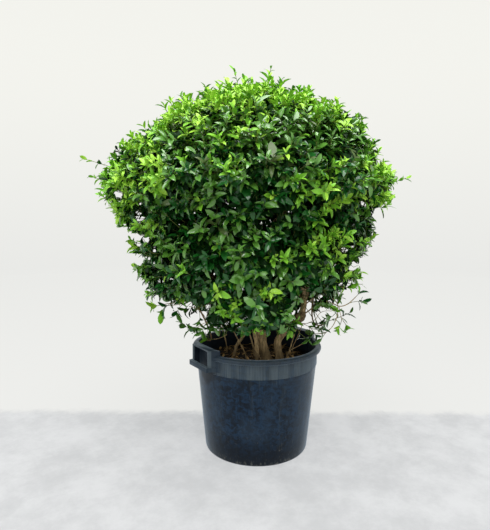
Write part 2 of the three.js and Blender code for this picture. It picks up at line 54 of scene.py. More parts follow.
# Pot, in millimetres
POT_HEIGHT = 340
BASE_RADIUS = 168
COLLAR_RADIUS = 197
COLLAR_BOTTOM = 280
WALL_TOP_RADIUS = 195
LIP_RADIUS = 210
LIP_BOTTOM = 326
POT_FLOOR = 5
HANDLE_TOP = 356
HANDLE_BOTTOM = 292
GRIP_HALF = 42
RECESS_REACH = 192
CHEEK_REACH = 213.5
CHEEK_OUTER = 49
CHEEK_ROOT = 169.4
GUSSET_END = 67
GUSSET_REACH = 184.3
FLANGE_THICKNESS = 3.5
BAR_REACH = 223
BAR_THICKNESS = 9.5
BAR_TOP = 307
BAR_HALF = 52
RAISED_HALF = 59.8
DRAIN_HOLES = 6
DRAIN_CIRCLE = 128
DRAIN_RADIUS = 9
DRAIN_SIDES = 20
DRILL_LENGTH = 30
POT_SIDES = 144
PAST_POT = 260
OVER_POT = 400
SOIL_INSET = 3.8
SOIL_GRAIN = 5
ROUNDED_ANGLE = 35
ROUNDING_STEPS = 2

# Plant, in millimetres in its own frame, whose front is turned from the pot's
PLANT_TURN = math.radians(-35)
SOIL_LEVEL = 285
# Each stem's mass, its radii at the foot and the tip, the flare of its foot, and the places that it passes
STEMS = {
    "trunk": ("foliage_top", (15.5, 4.5), 0.42, [
        (33, -20, 285), (24, -20, 322), (8, -18, 370), (-14, -8, 450),
        (-30, 2, 560), (-22, -2, 700), (-27, 4, 840), (-25, 0, 940),
    ]),
    "stem_right": ("foliage_upper_front_right", (13, 4.5), 0.34, [
        (76, -20, 285), (70, -20, 318), (68, -20, 350), (90, -18, 378),
        (118, -16, 406), (142, -16, 434), (152, -20, 490), (146, -34, 570),
    ]),
    "stem_left": ("foliage_lower_left", (5.5, 3.6), 0.3, [
        (-76, 12, 285), (-66, 12, 325), (-38, 12, 374), (-66, 8, 410), (-96, 0, 470),
    ]),
    "stem_front": ("foliage_upper_front", (7, 4), 0.3, [
        (0, -52, 285), (-2, -56, 345), (-16, -78, 430), (-22, -96, 540),
    ]),
    "stem_back": ("foliage_upper_back", (11, 4.5), 0.36, [
        (20, 48, 285), (26, 56, 330), (16, 78, 420), (4, 96, 540),
    ]),
}
BURIED = 22
STEM_TAPER = 0.72
SPAN_STEPS = 24
FLARE_HEIGHT = 1.3
WAY_RISE = 0.45
WAY_ARRIVAL = 0.34
WAY_POINTS = 7
STEM_STRAIGHTNESS = 0.3
BOUGH_STRAIGHTNESS = 0.2
BOUGH_FOOT_SHARE = 0.68
BOUGH_TIP_RADIUS = 3.4
ENTRY_STEP = 0.005
EARLIEST_ENTRY = 0.2
ENTRY_MARGIN = 8

# How far out and how high the hubs of each ring of masses are
RINGS = {"top": (0, 1046), "upper": (296, 876), "lower": (254, 606)}
# Each mass's ring and bearing, and the stem and height that its bough leaves at, where no stem leads to it
MASSES = [
    ("foliage_top", "top", 0, None),
    ("foliage_upper_front", "upper", 270, None),
    ("foliage_upper_front_right", "upper", 330, None),
    ("foliage_upper_back_right", "upper", 30, ("trunk", 610)),
    ("foliage_upper_back", "upper", 90, None),
    ("foliage_upper_back_left", "upper", 150, ("trunk", 650)),
    ("foliage_upper_front_left", "upper", 210, ("trunk", 520)),
    ("foliage_lower_front_right", "lower", 300, ("stem_right", 500)),
    ("foliage_lower_right", "lower", 0, ("stem_right", 440)),
    ("foliage_lower_back_right", "lower", 60, ("stem_back", 430)),
    ("foliage_lower_back_left", "lower", 120, ("stem_back", 500)),
    ("foliage_lower_left", "lower", 180, None),
    ("foliage_lower_front_left", "lower", 240, ("stem_front", 420)),
]
CROWN_OFFSET = -25
CROWN_OUTLINE = np.array([
    (95, 408), (200, 388), (262, 428), (318, 488), (352, 570), (386, 660), (406, 745),
    (440, 808), (461, 868), (425, 940), (350, 1036), (232, 1108), (110, 1146), (0, 1156),
], float)
HOLLOW_OUTLINE = np.array([
    (196, 380), (200, 470), (214, 600), (228, 740), (192, 880), (96, 962), (0, 976),
], float)
OUTLINE_STEPS = 240
SHOOT_SEED = 11
SHOOT_COUNT = 176
SHOOT_INSET = 64
SHOOT_UNEVENNESS = 26
SHOOT_MEAN_DRAW = 0.7
SOURCE_LEAF = 90
LEAF_PAST_TIP = 0.92
TWIG_STARTS = (0.25, 1)
TWIG_BEND = 0.42
GOLDEN_ANGLE = math.pi * (3 - math.sqrt(5))
OPEN_SPOT = np.array((205.0, -70.0, 425.0))
OPEN_SPOT_RADIUS = 95
ESCAPED_LIFT = 160
ESCAPED_SHOOTS = np.array([
    (34, -60, 1192), (-74, -60, 1180), (110, 120, 1150), (-546, -20, 930), (-505, -60, 870),
    (452, -40, 872), (-60, 470, 905), (330, 330, 880), (-392, 10, 640), (286, -52, 448),
    (-244, -30, 408),
], float)
LOWEST_LEAF = 388
ESCAPED_SHORTFALL = -6

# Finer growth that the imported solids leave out, first the low boughs that show outside the crown: each one's
# path, radius, sprays by share of the path and side, and whether its leaves are new
STRAYS = [
    ([(144, -16, 433), (165, -24, 450), (192, -36, 475), (219, -44, 486), (243, -50, 478), (261, -54, 472),
      (282, -58, 479), (297, -60, 492), (309, -60, 505)], 2.4,
     [(1, 0), (0.92, -1), (0.54, 1), (0.3, 1)], False),
    ([(156, -20, 472), (171, -30, 487), (198, -40, 507), (233, -54, 529), (271, -66, 534)], 2.2,
     [(1, 0), (0.84, 1), (0.5, 1)], True),
    ([(237, -50, 497), (251, -56, 482), (253, -60, 458), (247, -62, 430), (232, -60, 402), (211, -56, 385),
      (189, -54, 384)], 1.6, [(1, 0), (0.96, -1), (0.86, 1), (0.36, -1)], False),
    ([(131, -14, 413), (152, -26, 409), (173, -34, 417), (188, -38, 428), (200, -42, 448), (215, -46, 455),
      (237, -50, 456)], 1.2, [(0.42, -1)], False),
    ([(134, -20, 411), (154, -36, 408), (168, -50, 402), (179, -56, 388)], 1.3,
     [(1, 0), (0.84, 1), (0.8, -1)], False),
    ([(257, -56, 473), (259, -64, 455), (264, -66, 437), (274, -66, 422)], 1.1, [(1, 0), (0.8, -1)], True),
    ([(-166, -50, 503), (-203, -60, 492), (-238, -70, 485), (-274, -78, 483), (-304, -84, 478)], 1.8,
     [(1, 0), (0.86, 1)], True),
    ([(-178, -60, 483), (-208, -70, 488), (-243, -80, 480), (-273, -84, 478)], 1.4,
     [(1, 0), (0.66, 1), (0.34, 1)], False),
    ([(-216, -50, 468), (-190, -60, 464), (-168, -70, 444), (-152, -78, 421)], 1.3,
     [(0.5, -1), (1, 0)], False),
    ([(-97, -70, 398), (-133, -80, 416), (-164, -80, 422), (-185, -76, 409)], 1.3,
     [(1, 0), (0.8, 1)], False),
    ([(-97, -60, 380), (-125, -56, 366), (-151, -50, 362)], 1.2, [(1, 0)], True),
    ([(70, -60, 455), (79, -104, 440), (89, -126, 424)], 1.5, [(1, 0), (0.8, 1)], True),
]
# A burr on the right-hand stem, and thin bare shoots between the stems with their radii
KNOB = [(124, -22, 418), (139, -24, 430), (150, -22, 444)]
KNOB_RADII = np.array([8, 13, 16, 17, 16, 13, 8])
SUCKERS = [
    ([(94, -40, 280), (99, -38, 304), (108, -34, 332), (117, -30, 361), (128, -24, 392)], 2.6),
    ([(88, -48, 282), (102, -46, 321), (134, -42, 340), (163, -38, 356)], 1.9),
    ([(58, -62, 280), (62, -60, 316), (74, -52, 352), (92, -40, 392), (104, -30, 440)], 2.4),
    ([(20, -66, 280), (8, -64, 310), (-12, -58, 342), (-26, -54, 384), (-60, -60, 430)], 2.2),
    ([(-30, -30, 280), (-40, -34, 316), (-58, -38, 352), (-84, -40, 402)], 2.4),
    ([(124, 12, 280), (120, 10, 318), (132, 2, 352), (150, -6, 404)], 2.0),
    ([(-6, 20, 280), (-14, 26, 330), (-36, 40, 390), (-60, 60, 460)], 3.0),
    ([(60, 60, 280), (72, 66, 330), (90, 76, 400), (120, 96, 470)], 3.2),
    ([(-100, 60, 280), (-104, 64, 320), (-118, 74, 372), (-130, 88, 430)], 2.2),
]
# A leaf's half width at each station along it, from its foot to its tip, and its columns of corners
LEAF_STATIONS = np.array([0.0, 0.2, 0.5, 0.8, 1.0])
LEAF_WIDTHS = np.array([0.08, 0.72, 1.0, 0.7, 0.0])
LEAF_COLUMNS = np.array([-1.0, 0.0, 1.0])
# The finer shoots: how many leaves each kind bears, how deep each layer of them lies, and how they scatter
FINE_SEED = 29
HANGING = -100.0
FULL_SHOOT = 12
HANGING_LEAVES = 9
INNER_LEAVES = 6
STRAY_LEAVES = 5
SPRAY_REACH = 26
END_REACH = 16
SPRAY_FOOT = 0.16
LOWEST_SEEN = 376
LOWEST_STRAY_LEAF = 345
LAYERS = ((0, 30), (4, 40), (14, 56), (60, 100), (100, 150))
INNER_DEPTH = 58
INNER_BLEND = 34
SPARSE_HEIGHTS = (435, 605)
SPARSE_SHARES = (0.86, 0.4)
LUMP_HEIGHT = 14
CLUMP_HEIGHT = 14
EVEN_SHARE = 0.93
LONG_SHOOT = 16
FINE_SCATTER = 7
FINE_REACHES = (78, 112)
VIEW_PLACE = np.array([-40.34, -1500.0, 752.59])
# Places on the plane through the pot's axis, as the camera sees them, with the spread of each hollow in the
# crown and its depth, which is less than 0 where it is a bulge
DENTS = [
    (420, 965, 62, 30), (-385, 1078, 66, 30), (-215, 1172, 72, 17), (436, 732, 38, 38), (-300, 428, 54, 56),
    (330, 425, 44, 24), (-448, 762, 48, -18), (432, 792, 34, -14), (-392, 560, 52, -6), (356, 552, 54, -30),
    (-352, 492, 40, -12), (340, 498, 44, -32), (-490, 828, 34, -24), (386, 676, 44, -16),
    (-26, 1196, 84, -12), (-120, 1120, 90, -9), (90, 1120, 90, -9),
]
# The same, with the spread of each patch that carries new growth
FLUSHES = [
    (-393, 994, 52), (-338, 949, 32), (-183, 1034, 56), (-296, 1066, 66), (-450, 884, 56), (-345, 858, 46),
    (-450, 806, 46), (-470, 850, 60), (-93, 920, 40), (68, 735, 36), (92, 790, 36), (253, 813, 52),
    (333, 813, 28), (398, 920, 54), (408, 830, 40), (437, 858, 30), (-377, 722, 44), (-416, 676, 34),
    (253, 676, 56), (301, 605, 44), (308, 540, 38), (30, 488, 30), (112, 512, 22),
]
# The same, with half widths and half heights, where the front lets the light through, and with how near the
# front the leaves are left out where only a limb shows
SKY_GAPS = [
    (153, 500, 10, 30, -24), (142, 440, 14, 22, -30), (220, 413, 28, 28), (307, 443, 22, 33),
    (308, 493, 34, 29), (260, 394, 20, 17), (174, 424, 27, 18), (155, 384, 18, 14), (143, 430, 16, 26),
    (166, 462, 15, 18), (200, 493, 13, 13), (265, 427, 9, 15), (120, 435, 7, 10), (-190, 416, 22, 26),
    (-191, 379, 25, 28), (-237, 449, 20, 9), (-176, 435, 10, 10), (-297, 464, 11, 6), (-280, 545, 7, 8),
    (-220, 463, 9, 10), (-105, 396, 5, 4), (-141, 562, 5, 9), (-106, 520, 4, 6), (-48, 517, 5, 6),
    (-219, 533, 5, 5), (-160, 461, 6, 6), (-384, 613, 11, 18), (346, 604, 20, 26), (393, 669, 14, 20),
    (371, 648, 18, 10), (360, 548, 9, 12), (315, 600, 9, 11), (387, 767, 15, 17), (394, 724, 9, 22),
    (-446, 820, 12, 12), (-432, 700, 10, 14),
]
# Small gaps of sky dealt out down the sides: how many, between which heights and how far in, and how large
SPECK_COUNT = 36
SPECK_HEIGHTS = (425, 800)
SPECK_DEPTHS = (10, 84)
SPECK_SIZES = (4.5, 8)


def blend(low, high, share):
    return low + (high - low) * share


def unit(vectors):
    return vectors / np.maximum(np.linalg.norm(vectors, axis=-1, keepdims=True), 1e-9)


def smooth(low, high, value):
    share = np.clip((value - low) / (high - low), 0, 1)
    return share * share * (3 - 2 * share)


def turned(angle, *rest):
    """Directions at angles round the upright, with what else each place holds."""
    return np.stack([np.cos(angle), np.sin(angle), *rest], axis=-1)


def part_frame(places):
    """Plant millimetres to the part's metres."""
    turn = np.array([
        [math.cos(PLANT_TURN), math.sin(PLANT_TURN), 0],
        [-math.sin(PLANT_TURN), math.cos(PLANT_TURN), 0],
        [0, 0, 1],
    ])
    return (np.asarray(places, float) @ turn) * MM


# Ways and limbs


class Way:
    """A line through places, walked by the share of its length."""

    def __init__(self, places):
        self.places = np.asarray(places, float)
        steps = np.linalg.norm(np.diff(self.places, axis=0), axis=1)
        self.reached = np.concatenate([[0], np.cumsum(steps)])
        self.length = self.reached[-1]

    def at(self, share):
        along = np.clip(share, 0, 1) * self.length
        return np.stack([np.interp(along, self.reached, axis) for axis in self.places.T], axis=-1)

    def heading(self, share):
        share = np.asarray(share, float)
        return unit(self.at(np.minimum(share + 0.002, 1)) - self.at(np.maximum(share - 0.002, 0)))


def cubic(start, end, leave, arrive, share):
    """Places and slopes on the curve from start to end that has the given slopes there."""
    square = -3 * start + 3 * end - 2 * leave - arrive
    cube = 2 * start - 2 * end + leave + arrive
    place = start + leave * share + square * share**2 + cube * share**3
    return place, leave + 2 * square * share + 3 * cube * share**2


def flowing(points):
    """A centripetal curve through points."""
    points = np.asarray(points, float)
    ends = np.vstack([2 * points[0] - points[1], points, 2 * points[-1] - points[-2]])
    spans = []
    share = np.linspace(0, 1, SPAN_STEPS, endpoint=False)[:, None]
    for i in range(len(points) - 1):
        before, start, end, after = ends[i : i + 4]
        first, middle, last = (
            max(np.linalg.norm(b - a) ** 0.5, 1e-4)
            for a, b in ((before, start), (start, end), (end, after))
        )
        leave = (start - before) / first - (end - before) / (first + middle)
        leave = (leave + (end - start) / middle) * middle
        arrive = (end - start) / middle - (after - start) / (middle + last)
        arrive = (arrive + (after - end) / last) * middle
        spans.append(cubic(start, end, leave, arrive, share)[0])
    return Way(np.vstack([*spans, points[-1:]]))


def around(bearing, radius, height):
    angle = math.radians(bearing)
    return np.array([CROWN_OFFSET + radius * math.cos(angle), radius * math.sin(angle), height])


def depth_in_hollow(place):
    flat = np.array([math.hypot(place[0] - CROWN_OFFSET, place[1]), place[2]])
    start, along = HOLLOW_OUTLINE[:-1], np.diff(HOLLOW_OUTLINE, axis=0)
    share = np.clip(((flat - start) * along).sum(1) / (along**2).sum(1), 0, 1)
    away = flat - start - along * share[:, None]
    nearest = np.argmin(np.linalg.norm(away, axis=1))
    side = along[nearest][0] * away[nearest][1] - along[nearest][1] * away[nearest][0]
    return np.linalg.norm(away[nearest]) * (1 if side >= 0 else -1)


class Limb:
    """A stem or bough with its taper and the share of its length at which it enters its mass."""

    def __init__(self, name, points, radius_at):
        self.name = name
        self.way = flowing(points)
        self.radius_at = radius_at
        self.entry = 1.0
        while self.entry > EARLIEST_ENTRY and depth_in_hollow(self.way.at(self.entry)) < ENTRY_MARGIN:
            self.entry -= ENTRY_STEP

    def radius(self, share):
        return self.radius_at(np.asarray(share) * self.way.length, self.way.length)

    def share_at_height(self, height):
        share = 0.0
        while share < self.entry and self.way.at(share)[2] < height:
            share += ENTRY_STEP / 2
        return share


def way_to(hub, start, heading, straightness):
    reach = np.linalg.norm(hub - start)
    arrival = unit(hub - np.array([CROWN_OFFSET, 0, hub[2] - reach * WAY_RISE]))
    first = start + heading * reach * straightness
    second = hub - arrival * reach * WAY_ARRIVAL
    share = np.linspace(0, 1, 200)[:, None]
    bend = (1 - share) ** 3 * start + 3 * (1 - share) ** 2 * share * first
    bend = bend + 3 * (1 - share) * share**2 * second + share**3 * hub
    return Way(bend).at(np.linspace(0, 1, WAY_POINTS + 1))


def stem_radius(foot, tip, flare):
    def radius(along, length):
        spread = np.exp(-np.maximum(0, along - BURIED) / (foot * FLARE_HEIGHT))
        return blend(foot, tip, (along / length) ** STEM_TAPER) * (1 + flare * spread)

    return radius


@lru_cache(maxsize=1)
def grow_limbs():
    """Each mass's hub and the limb that leads to it, and the stems by name."""
    hubs = {name: around(bearing, *RINGS[ring]) for name, ring, bearing, _ in MASSES}
    stems, limbs = {}, {}
    for name, (mass, radii, flare, path) in STEMS.items():
        rise = np.array(path, float)
        buried = rise[0] - (0, 0, BURIED)
        way = way_to(hubs[mass], rise[-1], unit(rise[-1] - rise[-2]), STEM_STRAIGHTNESS)
        limb = Limb(name, [buried, *rise, *way[1:]], stem_radius(*radii, flare))
        stems[name] = limbs[mass] = limb
    for name, _, _, bough in MASSES:
        if not bough:
            continue
        parent = stems[bough[0]]
        share = parent.share_at_height(bough[1])
        foot = float(parent.radius(share)) * BOUGH_FOOT_SHARE
        way = way_to(hubs[name], parent.way.at(share), parent.way.heading(share), BOUGH_STRAIGHTNESS)
        taper = lambda along, length, foot=foot: blend(foot, BOUGH_TIP_RADIUS, along / length)
        limbs[name] = Limb(name.replace("foliage", "bough"), way, taper)
    return hubs, stems, limbs


# The crown's outline and its shoots


def outline_at(share):
    """Places and tangents on the crown's outline at shares of its knots."""
    knots = len(CROWN_OUTLINE) - 1
    span = np.minimum((share * knots).astype(int), knots - 1)
    weight = (share * knots - span)[:, None]
    corner = lambda step: CROWN_OUTLINE[np.clip(span + step, 0, knots)]
    start, end = corner(0), corner(1)
    leave, arrive = (end - corner(-1)) / 2, (corner(2) - start) / 2
    place, slope = cubic(start, end, leave, arrive, weight)
    return place, unit(slope)


@lru_cache(maxsize=1)
def outline_area():
    places, _ = outline_at(np.linspace(0, 1, OUTLINE_STEPS + 1))
    steps = np.linalg.norm(np.diff(places, axis=0), axis=1) * (places[1:, 0] + places[:-1, 0]) / 2
    return np.concatenate([[0], np.cumsum(steps)])


def on_outline(share, bearing):
    """Places on the crown and its outward directions, at shares of its surface and bearings."""
    area = outline_area()
    step = np.interp(share * area[-1], area, np.linspace(0, 1, OUTLINE_STEPS + 1))
    place, tangent = outline_at(step)
    circle = turned(bearing)
    flat = np.maximum(place[:, :1], 0) * circle + (CROWN_OFFSET, 0)
    outward = np.hstack([tangent[:, 1:] * circle, -tangent[:, :1]])
    return np.hstack([flat, place[:, 1:]]), outward


def source_random(seed):
    """The same seeded numbers that place the solids' own shoots."""
    state = seed
    while True:
        state = (state * 1664525 + 1013904223) % 2**32
        yield state / 2**32


def nearest_hub(places):
    hubs = np.array(list(grow_limbs()[0].values()))
    return np.argmin(np.linalg.norm(places[:, None] - hubs[None], axis=2), axis=1)


@lru_cache(maxsize=1)
def main_twigs():
    """The twigs from each mass's limb to the shoots of the solids, by the same rule."""
    draws = source_random(SHOOT_SEED)
    count = np.arange(SHOOT_COUNT)
    places, outward = on_outline((count + 0.5) / SHOOT_COUNT, count * GOLDEN_ANGLE)
    tips, ways, draw = [], [], []
    for place, direction in zip(places, outward):
        tip = place - direction * (SHOOT_INSET - (next(draws) - SHOOT_MEAN_DRAW) * SHOOT_UNEVENNESS)
        value = next(draws)
        if np.linalg.norm(tip - OPEN_SPOT) > OPEN_SPOT_RADIUS:
            tips.append(tip)
            ways.append(direction)
            draw.append(value)
    for place in ESCAPED_SHOOTS:
        direction = unit(place - (CROWN_OFFSET, 0, place[2] - ESCAPED_LIFT))
        tips.append(place - direction * SOURCE_LEAF * LEAF_PAST_TIP)
        ways.append(direction)
        draw.append(next(draws))
    tips, ways, draw = np.array(tips), np.array(ways), np.array(draw)
    mass = nearest_hub(tips)
    limbs = [grow_limbs()[2][name] for name, *_ in MASSES]
    starts = np.array([
        limbs[m].way.at(blend(limbs[m].entry, 1, blend(*TWIG_STARTS, value))) for m, value in zip(mass, draw)
    ])
    reach = np.linalg.norm(tips - starts, axis=1, keepdims=True)
    return {"start": starts, "bend": tips - ways * reach * TWIG_BEND, "tip": tips, "mass": mass}


def along_twigs(twigs, share):
    """Places and headings on each curved twig at an array of shares, one row a twig."""
    share = np.broadcast_to(share, (len(twigs["tip"]), share.shape[-1]))[..., None]
    start, bend, tip = (twigs[key][:, None] for key in ("start", "bend", "tip"))
    place = (1 - share) ** 2 * start + 2 * (1 - share) * share * bend + share**2 * tip
    return place, unit((1 - share) * (bend - start) + share * (tip - bend))


def waves(places, sizes, turns):
    """A pattern of soft lumps, from -1 to 1."""
    return np.array([
        math.prod(math.sin(axis / size + turn) for axis, size, turn in zip(place, sizes, turns))
        for place in places
    ])


def fine_shoots(count):
    """Leafy shoots, layer on layer, each from the twig nearest to it."""
    random = np.random.default_rng(FINE_SEED)
    number = np.arange(count)
    places, outward = on_outline((number + 0.5) / count, number * GOLDEN_ANGLE)
    layer = number % len(LAYERS)
    low, high = np.array(LAYERS, float)[layer].T
    depth = blend(low, high, random.random(count))
    lumps, clumps = waves(places, (61, 53, 57), (1.3, 0.4, 0)), waves(places, (21, 23, 19), (1, 0, 2))
    depth = depth + LUMP_HEIGHT - LUMP_HEIGHT * lumps - CLUMP_HEIGHT * clumps
    depth = depth - LONG_SHOOT * (random.random(count) > EVEN_SHARE)
    tips = places - outward * (depth + dents(places))[:, None] + random.normal(0, FINE_SCATTER, (count, 3))
    lower = 1 - smooth(*SPARSE_HEIGHTS, tips[:, 2])
    keep = random.random(count) > lower * np.where(depth > INNER_DEPTH, *SPARSE_SHARES)
    keep &= ~in_sky_gap(tips)
    keep &= tips[:, 2] > LOWEST_LEAF
    tips, outward, depth = tips[keep], outward[keep], depth[keep]
    twigs = main_twigs()
    mass = nearest_hub(tips)
    samples, _ = along_twigs(twigs, np.linspace(0.3, 1, 15))
    starts = np.empty_like(tips)
    reach = blend(*FINE_REACHES, random.random(len(tips)))
    for i, tip in enumerate(tips):
        own = np.flatnonzero(twigs["mass"] == mass[i])
        away = np.linalg.norm(samples[own] - tip, axis=2)
        twig = np.argmin(away.min(axis=1))
        starts[i] = samples[own[twig], np.argmin(np.abs(away[twig] - reach[i]))]
    lift = blend(0.35, 1.15, smooth(420, 760, tips[:, 2:]))
    rise = unit(outward + lift * (0, 0, 1.0) + random.normal(0, 0.3, outward.shape))
    length = np.linalg.norm(tips - starts, axis=1, keepdims=True)
    shoots = {
        "start": starts,
        "bend": tips - rise * length * 0.5,
        "tip": tips,
        "mass": mass,
        "depth": depth,
        "flush": flushes(tips),
        "new": new_growth(tips, outward, depth, random),
        "leaves": np.where(depth > INNER_DEPTH, INNER_LEAVES, FULL_SHOOT),
    }
    places, _ = along_twigs(shoots, np.array([0.35, 0.6, 0.8]))
    open_air = ~in_sky_gap(places, 0.7)
    more = (escaped_ends(), stray_sprays())
    return {
        key: np.concatenate([value[open_air], *(growth[key] for growth in more)])
        for key, value in shoots.items()
    }


def escaped_ends():
    """The leafy ends of the long shoots, which reach as far as the solids do."""
    twigs = main_twigs()
    count = len(ESCAPED_SHOOTS)
    own = {key: twigs[key][-count:] for key in ("start", "bend", "tip", "mass")}
    places, headings = along_twigs(own, np.array([0.72, 1.0]))
    reach = np.linalg.norm(ESCAPED_SHOOTS - own["tip"], axis=1, keepdims=True) - ESCAPED_SHORTFALL
    return {
        "start": places[:, 0],
        "bend": own["tip"],
        "tip": own["tip"] + headings[:, 1] * reach,
        "mass": own["mass"],
        "depth": np.full(count, HANGING),
        "flush": flushes(ESCAPED_SHOOTS),
        "new": ESCAPED_SHOOTS[:, 2] > 600,
        "leaves": np.full(count, HANGING_LEAVES),
    }


def patch(seen, x, z, spread):
    """How near each place lies to the middle of a round patch whose edge is soft."""
    return np.exp(-((seen - (x, z)) ** 2).sum(axis=1) / spread**2)


def dents(places):
    """How much deeper than the even crown the clipped surface lies at places."""
    seen = as_seen(places)
    depth = np.zeros(len(places))
    for x, z, spread, amount in DENTS:
        depth += amount * patch(seen, x, z, spread)
    return depth


def in_sky_gap(places, reach=1.0):
    """Whether any of a row's places lies where the front of the crown lets the light through."""
    seen = as_seen(places.reshape(-1, 3)).reshape(*places.shape[:-1], 2)
    inside = np.zeros(places.shape[:-1], bool)
    for x, z, wide, high, *nearest in SKY_GAPS + edge_specks():
        hit = ((seen[..., 0] - x) / wide) ** 2 + ((seen[..., 1] - z) / high) ** 2 < reach
        inside |= hit & (places[..., 1] < nearest[0]) if nearest else hit
    return inside.reshape(len(places), -1).any(axis=1)


@lru_cache(maxsize=1)
def edge_specks():
    """Small gaps of sky strewn down the crown's sides, where it is thin, as rows of SKY_GAPS."""
    random = np.random.default_rng(FINE_SEED + 2)
    outline = outline_at(np.linspace(0.2, 0.9, OUTLINE_STEPS))[0]
    heights = random.uniform(*SPECK_HEIGHTS, SPECK_COUNT)
    reach = np.interp(heights, outline[:, 1], outline[:, 0]) - random.uniform(*SPECK_DEPTHS, SPECK_COUNT)
    sides = np.where(random.random(SPECK_COUNT) < 0.5, -1, 1)
    sizes = random.uniform(*SPECK_SIZES, (SPECK_COUNT, 2))
    return [
        (CROWN_OFFSET + side * far, z, wide, high)
        for side, far, z, (wide, high) in zip(sides, reach, heights, sizes)
    ]


def stray_sprays():
    """Sprays at the ends and along the outer halves of the low boughs that hang out of the crown."""
    starts, bends, tips, fresh = [], [], [], []
    for path, _, spread, new in STRAYS:
        way = flowing(path)
        for share, side in spread:
            place, heading = way.at(share), way.heading(share)
            across = unit(np.cross(heading, (0, 1, 0.3))) * side
            reach = SPRAY_REACH if side else END_REACH
            starts.append(way.at(max(share - SPRAY_FOOT, 0)))
            bends.append(place)
            tips.append(place + (heading * 0.7 + across) * reach)
            fresh.append(new)
    tips = np.array(tips)
    return {
        "start": np.array(starts),
        "bend": np.array(bends),
        "tip": tips,
        "mass": nearest_hub(tips),
        "depth": np.full(len(tips), HANGING),
        "flush": np.where(fresh, 0.6, 0.0),
        "new": np.array(fresh),
        "leaves": np.full(len(tips), STRAY_LEAVES),
    }


def as_seen(places):
    """Places moved along the photo's lines of sight to the plane through the pot's axis."""
    share = (VIEW_PLACE[1] / (VIEW_PLACE[1] - places[:, 1]))[:, None]
    return (VIEW_PLACE + (places - VIEW_PLACE) * share)[:, [0, 2]]


def flushes(places):
    """How far each place lies in a flush of new growth: over the top, and in patches down the sides."""
    seen = as_seen(places)
    flush = smooth(960, 1110, places[:, 2])
    for x, z, spread in FLUSHES:
        flush = np.maximum(flush, patch(seen, x, z, spread))
    return flush


def new_growth(tips, outward, depth, random):
    """Whether each shoot carries the season's bright leaves."""
    sides = smooth(290, 430, np.abs(tips[:, 0] - CROWN_OFFSET))
    facing = 0.5 + 0.5 * outward[:, 2]
    height = smooth(760, 1060, tips[:, 2])
    patches = np.sin(tips[:, 0] / 74 + 2) * np.sin(tips[:, 1] / 66) * np.sin(tips[:, 2] / 70 + 0.8)
    foot = smooth(570, 470, tips[:, 2])
    chance = 0.12 + 0.09 * foot + 0.95 * flushes(tips) + 0.16 * height * facing + 0.16 * patches
    chance = chance + 0.45 * sides * (1 + 1.2 * patches) + 0.22 * sides * height
    # Painted shade: fewer new shoots on the crown's flat top, where the light from above falls strongest.
    chance = chance * (1 - 0.55 * crest(tips))
    top = smooth(985, 1095, tips[:, 2])
    return random.random(len(tips)) < chance * smooth(60, 16, depth - 34 * top)


def crest(places):
    """How far each place lies on the crown's flat top, which is given fewer bright leaves as painted shade
    against the strong light from above.
    """
    return smooth(1070, 1130, places[:, 2]) * smooth(-210, -100, places[:, 1])


# Meshes from arrays


def array_piece(name, places, loops, counts, finishes, which):
    """One mesh from arrays of corners and faces, and of which finish each face has."""
    mesh = bpy.data.meshes.new(name)
    mesh.vertices.add(len(places))
    mesh.vertices.foreach_set("co", part_frame(places).astype(np.float32).ravel())
    mesh.loops.add(len(loops))
    mesh.loops.foreach_set("vertex_index", loops.astype(np.int32))
    mesh.polygons.add(len(counts))
    starts = np.concatenate([[0], np.cumsum(counts)[:-1]])
    mesh.polygons.foreach_set("loop_start", starts.astype(np.int32))
    for finish in finishes:
        mesh.materials.append(finish)
    mesh.polygons.foreach_set("material_index", which.astype(np.int32))
    mesh.polygons.foreach_set("use_smooth", np.ones(len(counts), bool))
    mesh.update(calc_edges=True)
    piece = bpy.data.objects.new(name, mesh)
    bpy.context.scene.collection.objects.link(piece)
    return piece


def repeated(loops, counts, number, size):
    """The faces of a number of like forms, each with so many corners."""
    return (loops + np.arange(number)[:, None] * size).ravel(), np.tile(counts, number)


def tubes(centres, headings, radii, sides):
    """Corners and faces of closed tapering tubes, one for each row of centres."""
    count, rings = centres.shape[:2]
    mean = unit(centres[:, -1] - centres[:, 0])
    spare = np.cross(mean, np.where(np.abs(mean[:, 2:]) > 0.8, (1.0, 0.0, 0.0), (0.0, 0.0, 1.0)))
    plane = np.cross(headings[:, 0], headings[:, -1])
    flat = np.linalg.norm(plane, axis=1, keepdims=True) < 0.05
    over = unit(np.cross(headings, np.where(flat, spare, plane)[:, None]))
    side = np.cross(over, headings)
    angle = np.arange(sides) * 2 * math.pi / sides
    spoke = side[:, :, None] * np.cos(angle)[:, None] + over[:, :, None] * np.sin(angle)[:, None]
    places = centres[:, :, None] + spoke * radii[..., None, None]
    ring, step = np.meshgrid(np.arange(rings - 1), np.arange(sides), indexing="ij")
    after = (step + 1) % sides
    corners = ((ring, step), (ring, after), (ring + 1, after), (ring + 1, step))
    wall = np.stack([level * sides + spot for level, spot in corners], axis=-1)
    foot = np.arange(sides)[::-1]
    top = (rings - 1) * sides + np.arange(sides)
    loops = np.concatenate([wall.ravel(), foot, top])
    counts = np.concatenate([np.full((rings - 1) * sides, 4), [sides, sides]])
    return places.reshape(-1, 3), *repeated(loops, counts, count, rings * sides)


def leaf_faces():
    rows = len(LEAF_STATIONS) - 1
    loops, counts = [], []
    for row in range(rows - 1):
        for column in (0, 1):
            low, high = row * 3 + column, (row + 1) * 3 + column
            loops += [low, high, high + 1, low + 1]
            counts.append(4)
    last, tip = (rows - 1) * 3, rows * 3
    for column in (0, 1):
        loops += [last + column, tip, last + column + 1]
        counts.append(3)
    return np.array(loops), np.array(counts)


